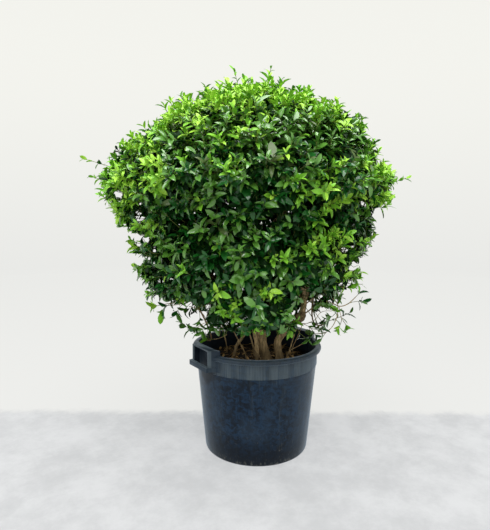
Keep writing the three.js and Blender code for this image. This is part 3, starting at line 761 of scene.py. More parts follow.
def leaf_corners(root, pointing, facing, length, width, fold, curl):
    """Corners of folded, curling pointed leaves, one row a leaf."""
    across = unit(np.cross(facing, pointing))
    facing = np.cross(pointing, across)
    bend = np.maximum(np.abs(curl), 1e-3)[:, None] * LEAF_STATIONS
    sign = np.where(curl < 0, -1.0, 1.0)[:, None]
    scale = (length / np.maximum(np.abs(curl), 1e-3))[:, None]
    forward, drop = scale * np.sin(bend), sign * scale * (1 - np.cos(bend))
    half = width[:, None] / 2 * LEAF_WIDTHS
    rows = len(LEAF_STATIONS) - 1
    out = (half * np.cos(fold)[:, None])[:, :rows, None] * LEAF_COLUMNS
    lift = (half * np.sin(fold)[:, None])[:, :rows, None] * np.abs(LEAF_COLUMNS)
    spine = root[:, None] + pointing[:, None] * forward[..., None] - facing[:, None] * drop[..., None]
    blade = spine[:, :rows, None] + across[:, None, None] * out[..., None]
    blade = blade + facing[:, None, None] * lift[..., None]
    return np.concatenate([blade.reshape(len(root), -1, 3), spine[:, rows:]], axis=1)


# Finishes


def arithmetic(operation, reflected=False):
    """An operator that adds a Math node."""

    def apply(self, other):
        pair = (other, self) if reflected else (self, other)
        return self.finish.math(operation, *pair)

    return apply


class Value:
    """A socket that arithmetic extends with Math nodes."""

    def __init__(self, finish, socket):
        self.finish, self.socket = finish, socket

    __add__, __radd__ = arithmetic("ADD"), arithmetic("ADD", reflected=True)
    __sub__, __rsub__ = arithmetic("SUBTRACT"), arithmetic("SUBTRACT", reflected=True)
    __mul__, __rmul__ = arithmetic("MULTIPLY"), arithmetic("MULTIPLY", reflected=True)


class Finish:
    """A material whose nodes are added one by one."""

    def __init__(self, name, **constants):
        self.material = bpy.data.materials.new(name)
        self.material.use_nodes = True
        self.tree = self.material.node_tree
        self.tree.nodes.clear()
        self.shader = self.node("ShaderNodeBsdfPrincipled", constants)
        output = self.tree.nodes.new("ShaderNodeOutputMaterial")
        self.tree.links.new(self.shader.outputs[0], output.inputs[0])

    def node(self, kind, inputs, **settings):
        made = self.tree.nodes.new(kind)
        for name, value in settings.items():
            setattr(made, name, value)
        for name, value in inputs.items():
            self.feed(made.inputs[name], value)
        return made

    def value(self, kind, inputs, output=0, **settings):
        """What a new node gives out."""
        return Value(self, self.node(kind, inputs, **settings).outputs[output])

    def feed(self, socket, value):
        if isinstance(value, Value):
            self.tree.links.new(value.socket, socket)
        elif isinstance(value, tuple) and socket.type == "RGBA":
            socket.default_value = (*value, 1)
        else:
            socket.default_value = value

    def math(self, operation, *values):
        return self.value("ShaderNodeMath", dict(enumerate(values)), operation=operation)

    def mix(self, share, first, second):
        return self.value("ShaderNodeMix", {0: share, 6: first, 7: second}, 2, data_type="RGBA")

    def place(self, stretch=(1, 1, 1)):
        """Object coordinates, stretched."""
        source = self.value("ShaderNodeTexCoord", {}, "Object")
        return self.value("ShaderNodeMapping", {"Vector": source, "Scale": stretch})

    def axes(self):
        parts = self.node("ShaderNodeSeparateXYZ", {0: self.place()})
        return [Value(self, socket) for socket in parts.outputs]

    def noise(self, scale, detail=3, roughness=0.55, stretch=(1, 1, 1), distortion=0):
        return self.value("ShaderNodeTexNoise", {
            "Vector": self.place(stretch), "Scale": scale, "Detail": detail,
            "Roughness": roughness, "Distortion": distortion,
        })

    def cells(self, scale, stretch=(1, 1, 1)):
        return self.value("ShaderNodeTexVoronoi", {"Vector": self.place(stretch), "Scale": scale})

    def rise(self, value, low, high):
        """A smooth step of a value, from low to high."""
        inputs = {"Value": value, "From Min": low, "From Max": high}
        return self.value("ShaderNodeMapRange", inputs, interpolation_type="SMOOTHSTEP")

    def bump(self, height, distance, strength):
        inputs = {"Height": height, "Distance": distance, "Strength": strength}
        self.feed(self.shader.inputs["Normal"], self.value("ShaderNodeBump", inputs))

    def paint(self, share, first, second):
        """Starts the colour as a mix of two."""
        self.shade = self.mix(share, first, second)

    def lay(self, share, colour):
        """Lays another colour over the one so far, by a share."""
        self.shade = self.mix(share, self.shade, colour)

    def done(self):
        """The material, with the colour that was laid up."""
        self.feed(self.shader.inputs["Base Color"], self.shade)
        return self.material


def scaled(colour, share):
    return tuple(channel * share for channel in colour)


def pot_finish(colours):
    """Weathered blue-black plastic: dusty collar, streaks down the wall, soft dark mottles, scuffed foot, and
    painted shade inside the rim, over the handles, in their recesses and towards the foot.
    """
    finish = Finish("pot_plastic", **{
        "Specular IOR Level": 0.16, "Sheen Weight": 0.38, "Sheen Roughness": 0.35,
        "Sheen Tint": (0.6, 0.8, 1.0),
    })
    x, y, z = finish.axes()
    rise, noise, lay = finish.rise, finish.noise, finish.lay
    radius = finish.math("SQRT", x * x + y * y)
    base, dust, grime = tuple(colours.pot), tuple(colours.pot_dust), tuple(colours.grime)
    streaks = noise(30, 3, 0.6, (1, 1, 0.1))
    fine_streaks = noise(200, 3, 0.6, (1, 1, 0.04))
    clouds = noise(8, 3, 0.6, (1, 1, 0.8))
    mottles = noise(58, 4, 0.62, (1, 1, 1.3), 0.7)
    lines = noise(360, 2, 0.5, (1, 1, 0.015))
    scratches = noise(95, 4, 0.7, (1, 1, 0.5), 1.5)
    finish.paint(rise(mottles, 0.38, 0.62), scaled(base, 0.32), scaled(base, 1.36))
    lay(rise(lines, 0.5, 0.7) * 0.5, scaled(base, 0.25))
    pale = tuple(1.3 * plain + 0.28 * dusty for plain, dusty in zip(base, dust))
    lay(rise(clouds, 0.4, 0.64) * 0.4, pale)
    lay(rise(streaks, 0.5, 0.74) * 0.4, scaled(dust, 0.5))
    wear = rise(fine_streaks, 0.54, 0.78) * rise(streaks, 0.4, 0.6)
    lay(wear * 0.45, scaled(dust, 0.9))
    # Painted shade: the wall darkens towards the foot.
    lay(rise(z, 0.12, 0.01) * 0.88, scaled(base, 0.2))
    scuffs = rise(scratches, 0.6, 0.68) * rise(z, 0.15, 0.04)
    lay(scuffs * 0.3, grime)
    outside = rise(radius, 0.1955, 0.1965)
    ragged = z + (streaks - 0.5) * 0.024 + (fine_streaks - 0.5) * 0.016
    collar = rise(ragged, 0.2735, 0.284) * rise(z, 0.329, 0.325)
    patches = rise(streaks * 0.5 + clouds * 0.2 + fine_streaks * 0.3, 0.38, 0.62)
    lay(collar * outside * (patches * 0.68 + 0.26), scaled(dust, 1.2))
    # Painted shade on the inside of the wall above the soil.
    inside = rise(radius, 0.1966, 0.1955) * rise(z, 0.276, 0.285)
    lay(inside * 0.75, scaled(base, 0.2))
    lip = rise(z, 0.3255, 0.328) * rise(radius, 0.1968, 0.199)
    lay(lip * (patches * 0.4 + 0.26), scaled(dust, 0.8))
    across, along = finish.math("ABSOLUTE", x), finish.math("ABSOLUTE", y)
    # Painted shade over the handles and the collar beside them.
    handle = rise(across, 0.176, 0.186) * rise(along, 0.074, 0.062)
    lay(handle * rise(z, 0.286, 0.292) * 0.6, scaled(base, 0.7))
    # Painted shade in the recess under each handle's flange, between its cheeks.
    recess_shade = rise(across, 0.1902, 0.1915) * rise(across, 0.2132, 0.212)
    recess_shade = recess_shade * rise(along, 0.0438, 0.0429)
    recess_shade = recess_shade * rise(z, 0.17, 0.18) * rise(z, 0.3535, 0.352)
    lay(recess_shade * 0.85, scaled(base, 0.2))
    bar = rise(radius, 0.2125, 0.2145) * rise(z, 0.3055, 0.3065)
    lay(bar * 0.75, scaled(dust, 1.15))
    foot = rise(z + (fine_streaks - 0.5) * 0.03, 0.024, 0.003)
    mud = rise(noise(120, 4, 0.7, (1, 1, 0.6)), 0.5, 0.66)
    lay(foot * mud * 0.55, grime)
    finish.feed(finish.shader.inputs["Roughness"], 0.34 + collar * 0.2 + patches * 0.14)
    finish.bump(mottles * 0.5 + noise(420, 2) * 0.25 + streaks * 0.3, 0.0012, 0.5)
    return finish.done()


def soil_finish(colours):
    finish = Finish("potting_soil", Roughness=0.95, **{"Specular IOR Level": 0.2})
    base = tuple(colours.soil)
    lumps = finish.noise(60, 5, 0.7)
    crumbs = finish.cells(190)
    finish.paint(finish.rise(lumps, 0.35, 0.68), scaled(base, 0.45), scaled(base, 1.7))
    finish.lay(finish.rise(crumbs, 0.42, 0.1) * 0.5, scaled(base, 0.5))
    finish.bump(lumps + crumbs * 0.6, 0.006, 0.9)
    return finish.done()


def bark_finish(name, base, scale=1.0):
    """Pale bark with furrows along the limb, darker stains, small raised pores, and painted shade darkening
    its foot near the soil.
    """
    finish = Finish(name, Roughness=0.85, **{"Specular IOR Level": 0.25})
    furrows = finish.noise(150 * scale, 5, 0.7, (1, 1, 0.22), 0.5)
    pores = finish.cells(230 * scale, (1, 1, 1.6))
    finish.paint(finish.rise(furrows, 0.34, 0.64), scaled(base, 0.4), scaled(base, 1.3))
    finish.lay(finish.rise(finish.noise(34, 3), 0.48, 0.7) * 0.6, scaled(base, 0.42))
    finish.lay(finish.rise(pores, 0.2, 0.08) * 0.4, scaled(base, 1.8))
    # Painted shade: the limb darkens down towards the soil.
    finish.lay(finish.rise(finish.axes()[2], 0.35, 0.3) * 0.7, scaled(base, 0.22))
    finish.bump(furrows + pores * 0.3, 0.003, 0.8)
    return finish.done()


def plain_finish(name, colour, roughness, coat=0.0):
    """A plain base colour, for what is dealt out leaf by leaf."""
    shine = {"Specular IOR Level": 0.08 + 0.16 * coat, "Coat Weight": coat, "Coat Roughness": 0.1}
    return Finish(name, Roughness=roughness, **{"Base Color": tuple(colour)}, **shine).material


# Modelling by hand


def start_afresh():
    if bpy.context.mode != "OBJECT":
        bpy.ops.object.mode_set(mode="OBJECT")
    bpy.ops.object.select_all(action="DESELECT")


def choose(piece):
    start_afresh()
    piece.select_set(True)
    bpy.context.view_layer.objects.active = piece


def opened(piece):
    """Opens the piece for editing with everything selected."""
    choose(piece)
    bpy.ops.object.mode_set(mode="EDIT")
    bpy.ops.mesh.select_all(action="SELECT")


def modified(piece, kind, **settings):
    """Gives the piece a modifier with these settings, and applies it."""
    choose(piece)
    bpy.ops.object.modifier_add(type=kind)
    modifier = piece.modifiers[-1]
    for name, value in settings.items():
        setattr(modifier, name, value)
    bpy.ops.object.modifier_apply(modifier=modifier.name)
    return piece


def named(name):
    """The piece just added, named, with its place put into its mesh."""
    piece = bpy.context.object
    piece.name = piece.data.name = name
    bpy.ops.object.transform_apply(location=True, rotation=True, scale=True)
    return piece


def raised(name, rings, sides, open_top=False):
    """A body of revolution raised ring by ring from its lowest disc, in millimetres."""
    start_afresh()
    radius, height = rings[0]
    bpy.ops.mesh.primitive_circle_add(
        vertices=sides, radius=radius * MM, fill_type="NGON", location=(0, 0, height * MM)
    )
    piece = named(name)
    opened(piece)
    for wider, higher in rings[1:]:
        lift = (0, 0, (higher - height) * MM)
        bpy.ops.mesh.extrude_region_move(TRANSFORM_OT_translate={"value": lift})
        share = wider / radius
        bpy.ops.transform.resize(value=(share, share, 1), center_override=(0, 0, higher * MM))
        radius, height = wider, higher
    if open_top:
        bpy.ops.mesh.delete(type="ONLY_FACE")
    bpy.ops.mesh.select_all(action="SELECT")
    bpy.ops.mesh.normals_make_consistent(inside=False)
    bpy.ops.object.mode_set(mode="OBJECT")
    return piece


def block(name, *spans):
    """A block between two places on each axis, in millimetres."""
    start_afresh()
    middle = [(low + high) / 2 * MM for low, high in spans]
    size = [(high - low) * MM for low, high in spans]
    bpy.ops.mesh.primitive_cube_add(size=1, location=middle, scale=size)
    return named(name)


def bisected(piece, place, normal):
    """Cuts away what lies past a plane, and closes the cut."""
    opened(piece)
    bpy.ops.mesh.bisect(plane_co=scaled(place, MM), plane_no=normal, use_fill=True, clear_outer=True)
    bpy.ops.object.mode_set(mode="OBJECT")
    return piece


def combined(piece, tools, operation):
    """Joins or cuts the piece with each tool in turn, and removes the tools."""
    for tool in tools:
        modified(piece, "BOOLEAN", object=tool, operation=operation, solver="EXACT")
        bpy.data.objects.remove(tool)
    return piece


def recessed(piece, inset, drop):
    """Cuts the room behind both handles out of the piece, wider by an inset and lower by a drop."""
    half = GRIP_HALF + inset
    room = block("room", (RECESS_REACH - inset, PAST_POT), (-half, half), (POT_HEIGHT / 2 - drop, OVER_POT))
    return combined(piece, [turned_copy(room), room], "DIFFERENCE")


def turned_copy(piece):
    """A copy on the other side of the pot, with its own mesh."""
    choose(piece)
    bpy.ops.object.duplicate()
    copy = bpy.context.object
    copy.rotation_euler = (0, 0, math.pi)
    bpy.ops.object.transform_apply(location=True, rotation=True, scale=True)
    return copy


def softened(piece, width):
    """Rounds the piece's edges and smooths what bends gently."""
    opened(piece)
    bpy.ops.mesh.remove_doubles(threshold=0.00005)
    bpy.ops.object.mode_set(mode="OBJECT")
    angle = math.radians(ROUNDED_ANGLE)
    modified(
        piece, "BEVEL", width=width * MM, segments=ROUNDING_STEPS, limit_method="ANGLE", angle_limit=angle
    )
    bpy.ops.object.shade_smooth_by_angle(angle=angle)


def remeshed(piece, grain):
    """Gives the piece one even skin of small faces."""
    return modified(piece, "REMESH", mode="VOXEL", voxel_size=grain * MM)


def roughened(piece, *reliefs, group=""):
    """Pushes the surface in and out by soft cloud patterns, each with its scale and strength."""
    for scale, strength in reliefs:
        clouds = bpy.data.textures.new(piece.name + "_relief", "CLOUDS")
        clouds.noise_scale, clouds.noise_depth = scale * MM, 3
        modified(
            piece, "DISPLACE", texture=clouds, texture_coords="LOCAL", strength=strength * MM, mid_level=0.5,
            vertex_group=group,
        )


def seat(piece, slot, *nodes):
    """Rides on the part and stands for the named nodes; the slot is not used."""
    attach(piece, "root")
    if nodes:
        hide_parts(*nodes)


def dress(piece, finish, smooth_all=True):
    """Gives the piece its finish, and smooths it unless its edges are to stay sharp."""
    choose(piece)
    if smooth_all:
        bpy.ops.object.shade_smooth()
    piece.data.materials.clear()
    piece.data.materials.append(finish)


# Sizes and colours that a user may change


def measure(name, description, default):
    return FloatProperty(
        name=name, description=description, default=default, min=0.0, subtype="DISTANCE", unit="LENGTH"
    )


def tint(name, description, default):
    return FloatVectorProperty(
        name=name, description=description, default=default, min=0.0, max=1.0, subtype="COLOR"
    )


def number(name, description, default):
    return IntProperty(name=name, description=description, default=default, min=1)


class TopiarySizes(bpy.types.PropertyGroup):
    """Sizes of the plant and its pot."""

    leaf_length: measure("Leaf length", "Length of a full-grown leaf", 0.034)
    leaf_width: measure("Leaf width", "Width of a full-grown leaf", 0.0154)
    wall: measure("Pot wall", "Thickness of the pot's wall", 0.0035)
    edge: measure("Pot edges", "How far the pot's edges are rounded", 0.0011)
    shoots: number("Shoots", "How many leafy shoots are dealt over the crown", 7000)
    shoot_leaves: number("Leaves on a shoot", "Leaves that each shoot carries", 12)


class TopiaryColours(bpy.types.PropertyGroup):
    """Base colours of each finish."""

    pot: tint("Pot", "Moulded plastic", (0.0045, 0.0165, 0.037))
    pot_dust: tint("Dust", "Dust on the collar and lip", (0.064, 0.084, 0.097))
    grime: tint("Grime", "Dried mud at the foot of the pot", (0.16, 0.16, 0.14))
    soil: tint("Soil", "Potting soil", (0.022, 0.014, 0.008))
    bark: tint("Bark", "Stems and boughs", (0.54, 0.39, 0.2))
    twig: tint("Twig", "Woody twigs", (0.3, 0.2, 0.11))
    green_twig: tint("Green twig", "Young twigs", (0.13, 0.16, 0.04))
    lime: tint("Lime leaf", "The newest leaves", (0.34, 0.63, 0.06))
    fresh: tint("Fresh leaf", "Leaves of this season", (0.19, 0.47, 0.035))
    middle: tint("Green leaf", "Full-grown leaves", (0.084, 0.24, 0.027))
    deep: tint("Deep leaf", "Older leaves", (0.008, 0.088, 0.01))
    shaded: tint("Shaded leaf", "Leaves inside the crown", (0.004, 0.025, 0.003))
    dull: tint("Dull leaf", "Old leaves with a brown cast", (0.07, 0.115, 0.03))
    litter: tint("Litter", "Dead leaves and roots on the soil", (0.45, 0.29, 0.12))
    floor: tint("Floor", "Floor under the pot", (0.19, 0.19, 0.19))
    backdrop: tint("Backdrop", "Floor behind the pot and the backdrop", (0.06, 0.06, 0.059))


# Operators


class MakePot(bpy.types.Operator):
    """Turn the pot, cut its recesses and drain holes, and fit its handles"""

    bl_idname = "topiary.make_pot"
    bl_label = "Make Pot"

    def execute(self, context):
        sizes, colours = context.scene.topiary_sizes, context.scene.topiary_colours
        wall = sizes.wall / MM
        wall_radius = lambda z: blend(BASE_RADIUS, WALL_TOP_RADIUS, z / COLLAR_BOTTOM)
        climb = [(wall_radius(z), z) for z in (40, 80, 120, 160, 200, 240)]
        pot = raised("pot_shell", [
            (161, 0), (165, 0.5), (167.3, 2.2), (wall_radius(6), 6), *climb,
            (wall_radius(279), 279), (196.2, 279.8), (COLLAR_RADIUS, 281.5),
            (COLLAR_RADIUS, LIP_BOTTOM), (206.2, LIP_BOTTOM), (208.8, 327.6), (LIP_RADIUS, 330.5),
            (LIP_RADIUS, 334), (209, 337.4), (206.2, 339.6), (202, POT_HEIGHT),
        ], POT_SIDES)
        ring = raised("raised_ring", [(COLLAR_RADIUS, 336), (COLLAR_RADIUS, HANDLE_TOP - 0.2)], POT_SIDES)
        sides = block("raised_sides", (-300, 300), (-RAISED_HALF, RAISED_HALF), (300, OVER_POT))
        combined(pot, [combined(ring, [sides], "INTERSECT")], "UNION")
        recessed(pot, 0, 0)
        fittings = self.handle(wall)
        combined(pot, fittings + [turned_copy(piece) for piece in fittings], "UNION")
        combined(pot, [self.hollow(wall, wall_radius)], "DIFFERENCE")
        combined(pot, self.drills(), "DIFFERENCE")
        softened(pot, sizes.edge / MM)
        dress(pot, pot_finish(colours), smooth_all=False)
        seat(pot, "pot", "pot")
        return {"FINISHED"}

    def handle(self, wall):
        """A raised flange, two cheeks and a grip bar, each a little inside the next."""
        top, bottom, half = HANDLE_TOP, HANDLE_BOTTOM, CHEEK_OUTER - 0.3
        flange = (RECESS_REACH - wall, CHEEK_REACH - 0.2), (-half, half), (top - FLANGE_THICKNESS, top)
        bar = (BAR_REACH - BAR_THICKNESS, BAR_REACH), (-BAR_HALF, BAR_HALF), (bottom, BAR_TOP)
        pieces = [block("flange", *flange), block("bar", *bar)]
        for side in (1, -1):
            for reach, high, sunk in ((CHEEK_REACH, top - 0.1, 0.15), (BAR_REACH - 0.5, BAR_TOP - 0.3, 0.3)):
                span = sorted((side * (GRIP_HALF + sunk - 0.15), side * GUSSET_END))
                cheek = block("cheek", (CHEEK_ROOT, reach), span, (bottom + sunk, high))
                for start, way in ((reach, 1), (CHEEK_ROOT, -1)):
                    run = Vector((GUSSET_REACH - start, side * (GUSSET_END - CHEEK_OUTER), 0))
                    outer = way * run.cross(Vector((0, 0, side))).normalized()
                    bisected(cheek, (start, side * CHEEK_OUTER, 0), outer)
                pieces.append(cheek)
        return pieces

    def hollow(self, wall, wall_radius):
        """The space inside the pot, less the backs of its two recesses."""
        inner = COLLAR_RADIUS - wall
        space = raised("space", [
            (wall_radius(POT_FLOOR) - wall - 2, POT_FLOOR), (wall_radius(8) - wall, POT_FLOOR + 3),
            (wall_radius(COLLAR_BOTTOM) - wall, COLLAR_BOTTOM), (inner, 282), (inner, 390),
        ], POT_SIDES)
        return recessed(space, wall, wall)

    def drills(self):
        drills = []
        for i in range(DRAIN_HOLES):
            angle = 2 * math.pi * (i + 0.5) / DRAIN_HOLES
            place = (DRAIN_CIRCLE * MM * math.cos(angle), DRAIN_CIRCLE * MM * math.sin(angle), 0)
            start_afresh()
            bpy.ops.mesh.primitive_cylinder_add(
                vertices=DRAIN_SIDES, radius=DRAIN_RADIUS * MM, depth=DRILL_LENGTH * MM, location=place
            )
            drills.append(named("drill"))
        return drills


class FillSoil(bpy.types.Operator):
    """Fill the pot with soil whose top is rough"""

    bl_idname = "topiary.fill_soil"
    bl_label = "Fill Soil"

    OUTLINE = [(164, 5.4), (190.6, 276), (191, SOIL_LEVEL - 1)]
    SIDES = 96
    RELIEF = ((34, 15), (9, 6))
    RIM = (0.191, 0.176)
    ROUGH_FROM = 0.28
    LEAST_RELIEF = 0.25

    def execute(self, context):
        colours = context.scene.topiary_colours
        soil = raised("soil_bed", self.OUTLINE, self.SIDES)
        recessed(soil, SOIL_INSET, 0)
        remeshed(soil, SOIL_GRAIN)
        group = soil.vertex_groups.new(name="top")
        for corner in soil.data.vertices:
            inset = smooth(*self.RIM, np.array([math.hypot(corner.co.x, corner.co.y)]))[0]
            if corner.co.z > self.ROUGH_FROM:
                group.add([corner.index], blend(self.LEAST_RELIEF, 1, float(inset)), "REPLACE")
        roughened(soil, *self.RELIEF, group="top")
        dress(soil, soil_finish(colours))
        seat(soil, "soil", "soil")
        return {"FINISHED"}


class StrewLitter(bpy.types.Operator):
    """Lay fine roots, crumbs and dead leaves on the soil"""

    bl_idname = "topiary.strew_litter"
    bl_label = "Strew Litter"

    ROOTS = 230
    ROOT_SPREAD = 168
    ROOT_RINGS = 7
    LEAVES = 120
    LEAF_SPREAD = 178
    FURTHEST_LEAF = 186

    def execute(self, context):
        sizes, colours = context.scene.topiary_sizes, context.scene.topiary_colours
        random = np.random.default_rng(5)
        pale = plain_finish("dry_root", colours.litter, 0.8)
        brown = plain_finish("dead_leaf", scaled(colours.litter, 0.5), 0.75)
        self.roots(random, pale, brown)
        self.leaves(random, sizes, brown, pale)
        return {"FINISHED"}

    def spots(self, random, count, spread):
        """Places strewn evenly over the soil."""
        radius = spread * np.sqrt(random.random(count))
        angle = random.random(count) * 2 * math.pi
        return np.hstack([radius[:, None] * turned(angle), np.full((count, 1), SOIL_LEVEL + 1.0)])

    def roots(self, random, *finishes):
        count = self.ROOTS
        middle = self.spots(random, count, self.ROOT_SPREAD)
        heading = random.random(count) * 2 * math.pi
        reach = 14 + 34 * random.random(count) ** 2
        share = np.linspace(-0.5, 0.5, self.ROOT_RINGS)
        bend = random.normal(0, 1.1, count)[:, None]
        angle = heading[:, None] + bend * share
        flat = turned(angle) * (share * reach[:, None])[..., None]
        tilt = random.normal(0, 0.16, count)[:, None] * share * reach[:, None]
        arch = (0.25 - share**2) * (6 + 14 * random.random((count, 1)))
        places = middle[:, None] + np.concatenate([flat, (tilt + arch)[..., None]], -1)
        radii = (0.45 + 0.8 * random.random((count, 1))) * (1 - 0.5 * (share + 0.5))
        corners, loops, counts = tubes(places, unit(np.gradient(places, axis=1)), radii, 4)
        which = np.repeat(random.integers(0, 2, count), len(counts) // count)
        seat(array_piece("soil_roots", corners, loops, counts, finishes, which), "soil")

    def leaves(self, random, sizes, *finishes):
        count = self.LEAVES
        root = self.spots(random, count, self.LEAF_SPREAD)
        root = root + random.normal(0, 1, (count, 3)) * (0, 0, 1.5) + (0, 0, 3)
        angle = random.random(count) * 2 * math.pi
        pointing = unit(turned(angle, random.normal(0, 0.25, count)))
        lean = [random.normal(0, 0.35, count), random.normal(0, 0.35, count), np.ones(count)]
        length = sizes.leaf_length / MM * (0.45 + 0.5 * random.random(count))
        fold, curl = random.random(count) * 0.9, random.normal(0, 0.9, count)
        corners = leaf_corners(root, pointing, unit(np.stack(lean, -1)), length, length * 0.42, fold, curl)
        keep = np.linalg.norm(corners[..., :2], axis=-1).max(axis=1) < self.FURTHEST_LEAF
        corners = corners[keep]
        corners[..., 2] = np.maximum(corners[..., 2], SOIL_LEVEL - 4)
        seat(leaf_piece("soil_dead_leaves", corners, finishes, random.integers(0, 2, len(corners))), "soil")


def leaf_piece(name, corners, finishes, which):
    loops, counts = leaf_faces()
    faces = repeated(loops, counts, *corners.shape[:2])
    return array_piece(name, corners.reshape(-1, 3), *faces, finishes, np.repeat(which, len(counts)))


class RaiseLimbs(bpy.types.Operator):
    """Raise the stems from the soil and the boughs from the stems, with the relief of their bark"""

    bl_idname = "topiary.raise_limbs"
    bl_label = "Raise Stems and Boughs"

    STEM_RELIEF = ((16, 3.0), (5, 1.3))
    BOUGH_RELIEF = ((11, 1.2),)
    THIN_RELIEF = ((8, 0.9),)
    KNOB_RELIEF = ((12, 7), (4, 2))
    GRAIN = 1.9
    FINE_GRAIN = 1.4
    STOUT_RADIUS = 9
    THIN_RINGS = 26
    ROOT_REACH = 2.7
    ROOT_RADII = (0.5, 0.14)
    # A stem's slow swelling and its knot, and the collar round a bough's foot, as shares of the radius
    WAVE, WAVE_LENGTH = 0.05, 17
    KNOT, KNOT_HEIGHT, KNOT_LENGTH = 0.24, 440, 11
    COLLAR, COLLAR_LENGTH = 0.5, 12

    def execute(self, context):
        colours = context.scene.topiary_colours
        bark = bark_finish("stem_bark", tuple(colours.bark))
        thin_bark = bark_finish("bough_bark", scaled(colours.bark, 0.8), 1.6)
        knob_bark = bark_finish("knob_bark", scaled(colours.bark, 0.5), 1.6)
        _, stems, limbs = grow_limbs()
        for name, stem in stems.items():
            grain = self.GRAIN if stem.radius(0.1) > self.STOUT_RADIUS else self.FINE_GRAIN
            self.cast(name, [self.line(stem), *self.roots(stem)], grain, self.STEM_RELIEF, bark, name)
        for limb in limbs.values():
            if limb.name not in stems:
                self.cast(limb.name, [self.line(limb)], 0, self.BOUGH_RELIEF, thin_bark, limb.name)
        for name, paths in (("thin_stems", SUCKERS), ("low_boughs", STRAYS)):
            lines = [self.thin_line(path, radius) for path, radius, *_ in paths]
            self.cast(name, lines, 0, self.THIN_RELIEF, bark)
        knob = (flowing(KNOB).at(np.linspace(0, 1, len(KNOB_RADII))), KNOB_RADII)
        self.cast("knob", [knob], self.FINE_GRAIN, self.KNOB_RELIEF, knob_bark)
        return {"FINISHED"}

    def line(self, limb):
        """Places and radii along a limb, from under the soil to the hub of its mass."""
        start = BURIED * 0.6 / limb.way.length if limb.name in STEMS else 0.0
        share = np.linspace(start, 1, max(12, int(limb.way.length / 5)))
        places, radii = limb.way.at(share), limb.radius(share)
        if limb.name in STEMS:
            height = places[:, 2]
            swell = 1 + self.WAVE * np.sin(height / self.WAVE_LENGTH)
            swell = swell + self.KNOT * np.exp(-(((height - self.KNOT_HEIGHT) / self.KNOT_LENGTH) ** 2))
        else:
            swell = 1 + self.COLLAR * np.exp(-share * limb.way.length / self.COLLAR_LENGTH)
        return places, radii * swell

    def thin_line(self, path, radius):
        places = flowing(path).at(np.linspace(0, 1, self.THIN_RINGS))
        return places, np.linspace(radius, radius * 0.5, self.THIN_RINGS)

    def roots(self, stem):
        """Short surface roots that spread from a stem's foot into the soil."""
        random = np.random.default_rng(int(stem.radius(0.1) * 100))
        foot = stem.way.at(BURIED / stem.way.length)
        size = float(stem.radius(BURIED / stem.way.length))
        lines = []
        for i in range(4 if size > 8 else 2):
            angle = random.random() + i * GOLDEN_ANGLE
            out = np.array([math.cos(angle), math.sin(angle), 0])
            share = np.linspace(0, 1, 12)[:, None]
            drop = np.array([0, 0, 1.0]) * (size * 0.8 - share**0.6 * (size * 1.5 + 7))
            radii = size * blend(*self.ROOT_RADII, share[:, 0])
            lines.append((foot + out * share * size * self.ROOT_REACH + drop, radii))
        return lines

    def cast(self, name, lines, grain, reliefs, bark, *nodes):
        """Casts round limbs along lines in rough bark, as one skin where there is a grain."""
        start_afresh()
        name = name + "_bark"
        curve = bpy.data.curves.new(name, "CURVE")
        curve.dimensions, curve.bevel_depth, curve.bevel_resolution = "3D", MM, 4
        curve.use_fill_caps = True
        for places, radii in lines:
            spline = curve.splines.new("POLY")
            spline.points.add(len(places) - 1)
            corners = np.hstack([part_frame(places), np.ones((len(places), 1))])
            spline.points.foreach_set("co", corners.ravel())
            spline.points.foreach_set("radius", radii)
        piece = bpy.data.objects.new(name, curve)
        bpy.context.scene.collection.objects.link(piece)
        choose(piece)
        bpy.ops.object.convert(target="MESH")
        piece = bpy.context.object
        if grain:
            remeshed(piece, grain)
        roughened(piece, *reliefs)
        dress(piece, bark)
        seat(piece, "bark", *nodes)


class GrowTwigs(bpy.types.Operator):
    """Grow each mass's twigs from its limb, and the finer shoots from the twigs"""

    bl_idname = "topiary.grow_twigs"
    bl_label = "Grow Twigs"

    def execute(self, context):
        sizes, colours = context.scene.topiary_sizes, context.scene.topiary_colours
        wood = plain_finish("twig_wood", colours.twig, 0.8)
        green = plain_finish("twig_green", colours.green_twig, 0.6)
        twigs, shoots = main_twigs(), fine_shoots(sizes.shoots)
        for index, (name, *_) in enumerate(MASSES):
            groups = []
            for growth, rings, sides, thick, thin in ((twigs, 11, 5, 3.6, 1.7), (shoots, 5, 3, 1.35, 0.8)):
                own = {key: value[growth["mass"] == index] for key, value in growth.items()}
                share = np.linspace(0, 1, rings)
                places, headings = along_twigs(own, share)
                radii = np.broadcast_to(blend(thick, thin, share), places.shape[:2])
                groups.append(tubes(places, headings, radii, sides))
            corners = np.vstack([places for places, _, _ in groups])
            loops = np.concatenate([groups[0][1], groups[1][1] + len(groups[0][0])])
            counts = np.concatenate([groups[0][2], groups[1][2]])
            which = np.repeat([0, 1], [len(groups[0][2]), len(groups[1][2])])
            name = name.replace("foliage", "twigs")
            seat(array_piece(name, corners, loops, counts, (wood, green), which), "bark")
        return {"FINISHED"}


